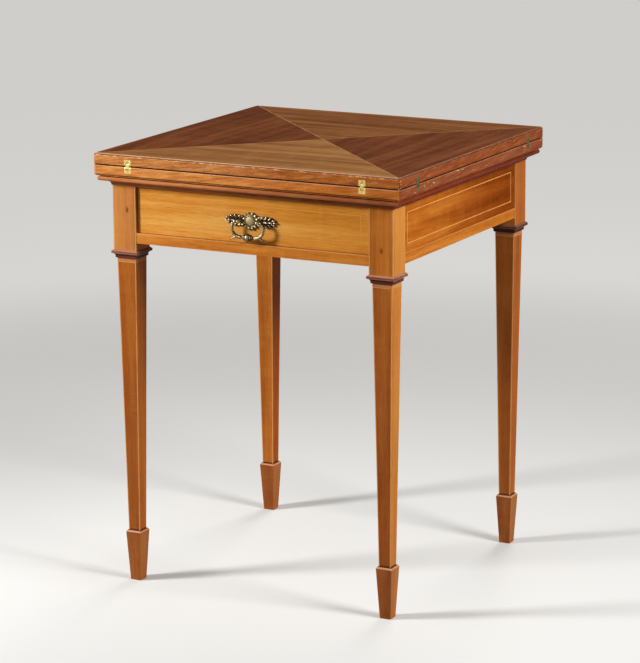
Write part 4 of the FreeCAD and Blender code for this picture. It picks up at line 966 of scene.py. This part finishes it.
@dataclass
class Linings:
    """The green cloth of the bed and the leaves, and the felt pads that the top turns on."""

    half: float = 0.264
    border: float = 0.038
    thick: float = 0.0012
    bed_low: float = 0.71505
    leaf_low: float = 0.71655
    pad_radius: float = 0.012
    cloth: Cloth = Cloth("green_baize", ("0a3019", "15492a", "2c6a41"))
    felt: Cloth = Cloth("glide_felt", ("17301f", "2a4a34", "4c6a52"), wear_and_shade=0.15)

    def soften(self, shape: Shape, low: float) -> None:
        """Give a flat cloth its thickness and a rounded cut edge.

        Args:
            shape: The flat cloth.
            low: Its lower face.
        """
        grown = bmesh.ops.extrude_face_region(shape, geom=list(shape.faces))["geom"]
        bmesh.ops.translate(shape, vec=(0, 0, self.thick), verts=pick(grown, Vert))
        bmesh.ops.recalc_face_normals(shape, faces=shape.faces)
        rim = [edge for edge in shape.edges if len(edge.link_faces) == 2
               and edge.calc_face_angle(0) > 1.0 and abs(edge.verts[0].co.z - edge.verts[1].co.z) < 1e-6
               and edge.verts[0].co.z > low + self.thick / 2]
        bmesh.ops.bevel(shape, geom=rim, offset=self.thick * 0.3, offset_type="OFFSET", segments=2, profile=0.5,
                        affect="EDGES", material=-1)

    def build(self) -> None:
        """Make every lining, hide the solid that it stands in for, and make the pads."""
        baize = self.cloth.build()
        shape = bmesh.new()
        bmesh.ops.create_grid(shape, x_segments=40, y_segments=40, size=self.half,
                              matrix=Matrix.Translation((0, 0, self.bed_low)))
        self.soften(shape, self.bed_low)
        bed = new_piece("bed_cloth", shape, baize, "bed")
        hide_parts("bed_baize")
        tip = self.border * math.sqrt(2)
        base, rise = 2 * (self.half - tip), self.half - tip
        for quarter, side in enumerate(SIDES):
            shape = bmesh.new()
            corners = [shape.verts.new((x, y, self.leaf_low)) for x, y in (
                (0, -tip), (-rise, -self.half), (rise, -self.half))]
            face = shape.faces.new(corners)
            bmesh.ops.subdivide_edges(shape, edges=list(face.edges), cuts=20, use_grid_fill=True)
            self.soften(shape, self.leaf_low)
            bmesh.ops.rotate(shape, cent=(0, 0, 0), matrix=Matrix.Rotation(quarter * math.pi / 2, 3, "Z"),
                             verts=shape.verts)
            leaf = new_piece(f"leaf_cloth_{side}", shape, baize, f"leaf_{side}")
            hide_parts(f"leaf_{side}_baize")
        self.build_pads()

    def build_pads(self) -> None:
        """Make the eight felt pads."""
        low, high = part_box("glide_pads")
        radius, thick = self.pad_radius, high[2] - low[2]
        profile = [(0, thick), (radius * 0.93, thick), (radius * 0.98, thick * 0.8), (radius, thick * 0.45),
                   (radius * 0.985, 0), (0, 0)]
        outer = high[0] - radius
        shape = bmesh.new()
        for reach in (outer, outer * 0.66):
            for x, y in ((1, 1), (-1, 1), (-1, -1), (1, -1)):
                spin_profile(shape, profile, Matrix.Translation((x * reach, y * reach, low[2])), 32)
        pads = new_piece("felt_pads", shape, self.felt.build(), "frame")
        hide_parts("glide_pads")


@dataclass
class Timber:
    """The finishes of the solids that keep their own shape."""

    leaf_front: Shades = ("644021", "885931", "a07546")
    leaf_back: Shades = ("563218", "744625", "8e5e34")
    leaf_side: Shades = ("4a2615", "613319", "7a482a")
    bed_edge: Shades = ("9a5626", "cc8240", "e4aa66")
    golden: Shades = ("b06a1c", "cc8530", "e0a856")
    leg: Shades = ("8e4c14", "b46824", "cc8638")
    foot: Shades = ("703916", "965124", "b26d38")
    rail: Shades = ("98500f", "ba6c23", "d48c3c")
    apron: Shades = ("86430d", "ae5c1a", "ca8030")
    moulding: Shades = ("7a3a1a", "b66a3a", "d69864")
    collar: Shades = ("421b0e", "723e26", "9e6a52")
    lining: Shades = ("8a6238", "b48a55", "d0ac78")
    hinge: Fitting = Fitting("hinge_brass", Metal.HINGE, bright="f4dc94", dull="d2b05c")
    iron: Fitting = Fitting("swivel_steel", Metal.IRON, bright="9a9a98", dull="4e4c48")
    post: Fitting = Fitting("post_brass", Metal.TURNED, bright="b5a878", dull="5d5536")
    nut: Fitting = Fitting("nut_brass", Metal.TURNED, bright="b5a878", dull="5d5536")

    def woods(self) -> dict[str, Any]:
        """Say which wood each board gets.

        Returns:
            A finish for every wooden node that keeps its solid.
        """
        x, y, z, around = Grain.ALONG_X, Grain.ALONG_Y, Grain.ALONG_Z, Grain.ROUND
        made: dict[str, Any] = {
            "bed_panel": Wood("bed_wood", self.leaf_side, around, 23.0, Extra.BED, edge=self.bed_edge),
            "leg_collars": Wood("collar_wood", self.collar, x, 37.0, Extra.COLLAR),
            "spade_feet": Wood("foot_wood", self.foot, z, 43.0, Extra.FOOT),
            "drawer_front": Wood("drawer_front_wood", self.golden, x, 47.0, shimmer=0.12),
            "front_rail": Wood("front_rail_wood", self.rail, x, 53.0, Extra.RAIL),
            "front_top_rail": Wood("top_rail_wood", self.moulding, x, 59.0),
            "apron_edge_strips": Wood("strip_wood", self.rail, around, 67.0, Extra.RAIL, coat=0.02, gloss=0.0),
            "leg_stringing": Inlay("leg_line", z, shade="cc8a48", dirt="9a5a24"),
            "apron_stringing": Inlay("apron_line", around, shade="d8964a", dirt="a2602a"),
            "drawer_stringing": Inlay("drawer_line", around, shade="d08d3a", dirt="b87628"),
        }
        for side, shades, grain, seed in (("front", self.leaf_front, x, 1.0), ("back", self.leaf_back, x, 6.0),
                                          ("left", self.leaf_side, y, 11.0), ("right", self.leaf_side, y, 17.0)):
            made[f"leaf_{side}"] = Wood(f"leaf_{side}_wood", shades, grain, seed, Extra.LEAF, figure=1.1, rough=0.5,
                                        gloss=0.0)
        for name, wood, seed in (("sub_top", "subtop_wood", 29.0), ("cornice_moulding", "cornice_wood", 31.0)):
            made[name] = Wood(wood, self.moulding, around, seed, Extra.CORNICE, coat=0.03, gloss=0.03)
        for name in ("leg_front_left", "leg_front_right", "leg_back_left", "leg_back_right"):
            made[name] = Wood("leg_wood", self.leg, z, 41.0, Extra.STILE, pore=0.25)
        for side, grain in (("left", y), ("right", y), ("back", x)):
            made[f"apron_{side}"] = Wood(f"apron_{side}_wood", self.apron, grain, 61.0, Extra.APRON, coat=0.02,
                                         gloss=0.0)
        for name, grain in (("drawer_side_left", y), ("drawer_side_right", y), ("drawer_back", x),
                            ("drawer_bottom", x), ("drawer_runners", y), ("drawer_kickers", y),
                            ("drawer_stops", x), ("pivot_bearer", y), ("stop_peg", z)):
            made[name] = Wood(f"lining_{grain.value}_wood", self.lining, grain, 71.0, pore=0.35, rough=0.62, coat=0.0)
        return made

    def metals(self) -> dict[str, Fitting]:
        """Say which metal each fitting gets.

        Returns:
            A finish for every metal node that keeps its solid.
        """
        made = {"handle_posts": self.post, "handle_nuts": self.nut}
        made.update({name: self.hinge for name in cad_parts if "hinge" in name})
        made.update(dict.fromkeys(("pivot_plate", "pivot_screws", "pivot_washer", "pivot_nut"), self.iron))
        return made

    def build(self) -> None:
        """Dress every node, making each finish once."""
        done: dict[Any, Material] = {}
        for name, recipe in {**self.woods(), **self.metals()}.items():
            if recipe not in done:
                done[recipe] = recipe.build()
            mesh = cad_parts[name].data
            mesh.materials.clear()
            mesh.materials.append(done[recipe])
            LOG.info("%s: %s", name, done[recipe].name)


@dataclass
class Studio:
    """Floor, lamps, world and camera."""

    eye: Place = (2.347, -4.494, 1.577)
    ahead: Place = (-0.4523, 0.8629, -0.2253)
    roll: float = -0.394
    lens: float = 166.33
    sensor: float = 36
    floor_half: float = 30
    floor_shade: str = "d2d1ce"
    floor_cloud: str = "c4c3c1"
    outer_shade: str = "5e5d5c"
    bounce_shade: str = "74726f"
    far_shade: str = "c8c7c4"
    world_shade: str = "dedddb"
    world_power: float = 0.3
    lamp_aim: Place = (0, 0, 0.45)
    lamps: Sequence[tuple[str, Place, float, float]] = (
        ("key", (-1.75, -1.5, 1.5), 0.55, 77), ("right", (2.3, -0.35, 1.8), 0.9, 66),
        ("rear", (-0.2, 2.5, 2.5), 1.2, 34))

    def build_floor(self) -> None:
        """Lay a pale floor that stays pale far away and sends little light back to the legs."""
        shader = Shader("floor_paint")
        path = shader.add("ShaderNodeLightPath")
        camera, glossy, through = (Signal(shader, path.outputs[name]) for name in (
            "Is Camera Ray", "Is Glossy Ray", "Is Transmission Ray"))
        seen = camera.either(glossy).either(through)
        cloud = shader.noise((1.2, 1.2, 1.2), 1.0, detail=3)
        reach = (shader.x * shader.x + shader.y * shader.y).math("SQRT")
        shader.colour = shader.mix(cloud * 0.12, self.floor_shade, self.floor_cloud)
        shader.tint(reach.rise(0.4, 2.2), self.outer_shade)
        shader.colour = shader.mix(seen, self.bounce_shade, shader.colour)
        shader.rough = 0.75
        glow = shader.mix(reach.rise(0.5, 2.6) * seen, "000000", self.far_shade)
        material = shader.finish(Emission_Color=glow, Emission_Strength=1.0)
        shape = bmesh.new()
        bmesh.ops.create_grid(shape, x_segments=1, y_segments=1, size=self.floor_half)
        floor = link_mesh("floor", shape, material)

    def build_lamps(self) -> None:
        """Hang soft lamps that look at the table, each of a width and a power in watts."""
        for name, place, size, power in self.lamps:
            light = bpy.data.lights.new(name, "AREA")
            light.shape = "DISK"
            light.size = size
            light.energy = power
            lamp = bpy.data.objects.new(name, light)
            lamp.location = place
            lamp.visible_camera = False
            lamp.rotation_euler = (Vector(self.lamp_aim) - Vector(place)).to_track_quat("-Z", "Y").to_euler()
            bpy.context.scene.collection.objects.link(lamp)

    def build_world(self) -> None:
        """Fill the room with soft grey light."""
        world = bpy.data.worlds.new("studio")
        bpy.context.scene.world = world
        world.use_nodes = True
        light = world.node_tree.nodes["Background"]
        light.inputs[0].default_value = linear(self.world_shade)
        light.inputs[1].default_value = self.world_power

    def build_camera(self) -> None:
        """Set the camera where the photograph was taken from."""
        camera = bpy.data.cameras.new("camera")
        camera.lens = self.lens
        camera.sensor_width = self.sensor
        holder = bpy.data.objects.new("camera", camera)
        level = Vector(self.ahead).to_track_quat("-Z", "Y").to_matrix().to_4x4()
        roll = Matrix.Rotation(math.radians(self.roll), 4, "Z")
        holder.matrix_world = Matrix.Translation(self.eye) @ level @ roll
        bpy.context.scene.collection.objects.link(holder)
        bpy.context.scene.camera = holder

    def build(self) -> None:
        """Set up the whole studio."""
        bpy.context.scene.view_settings.view_transform = "Standard"
        self.build_floor()
        self.build_lamps()
        self.build_world()
        self.build_camera()


def main() -> None:
    """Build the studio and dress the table."""
    Studio().build()
    Timber().build()
    Linings().build()
    HingeScrews().build()
    Handle().build()


if __name__ == "__main__":
    main()
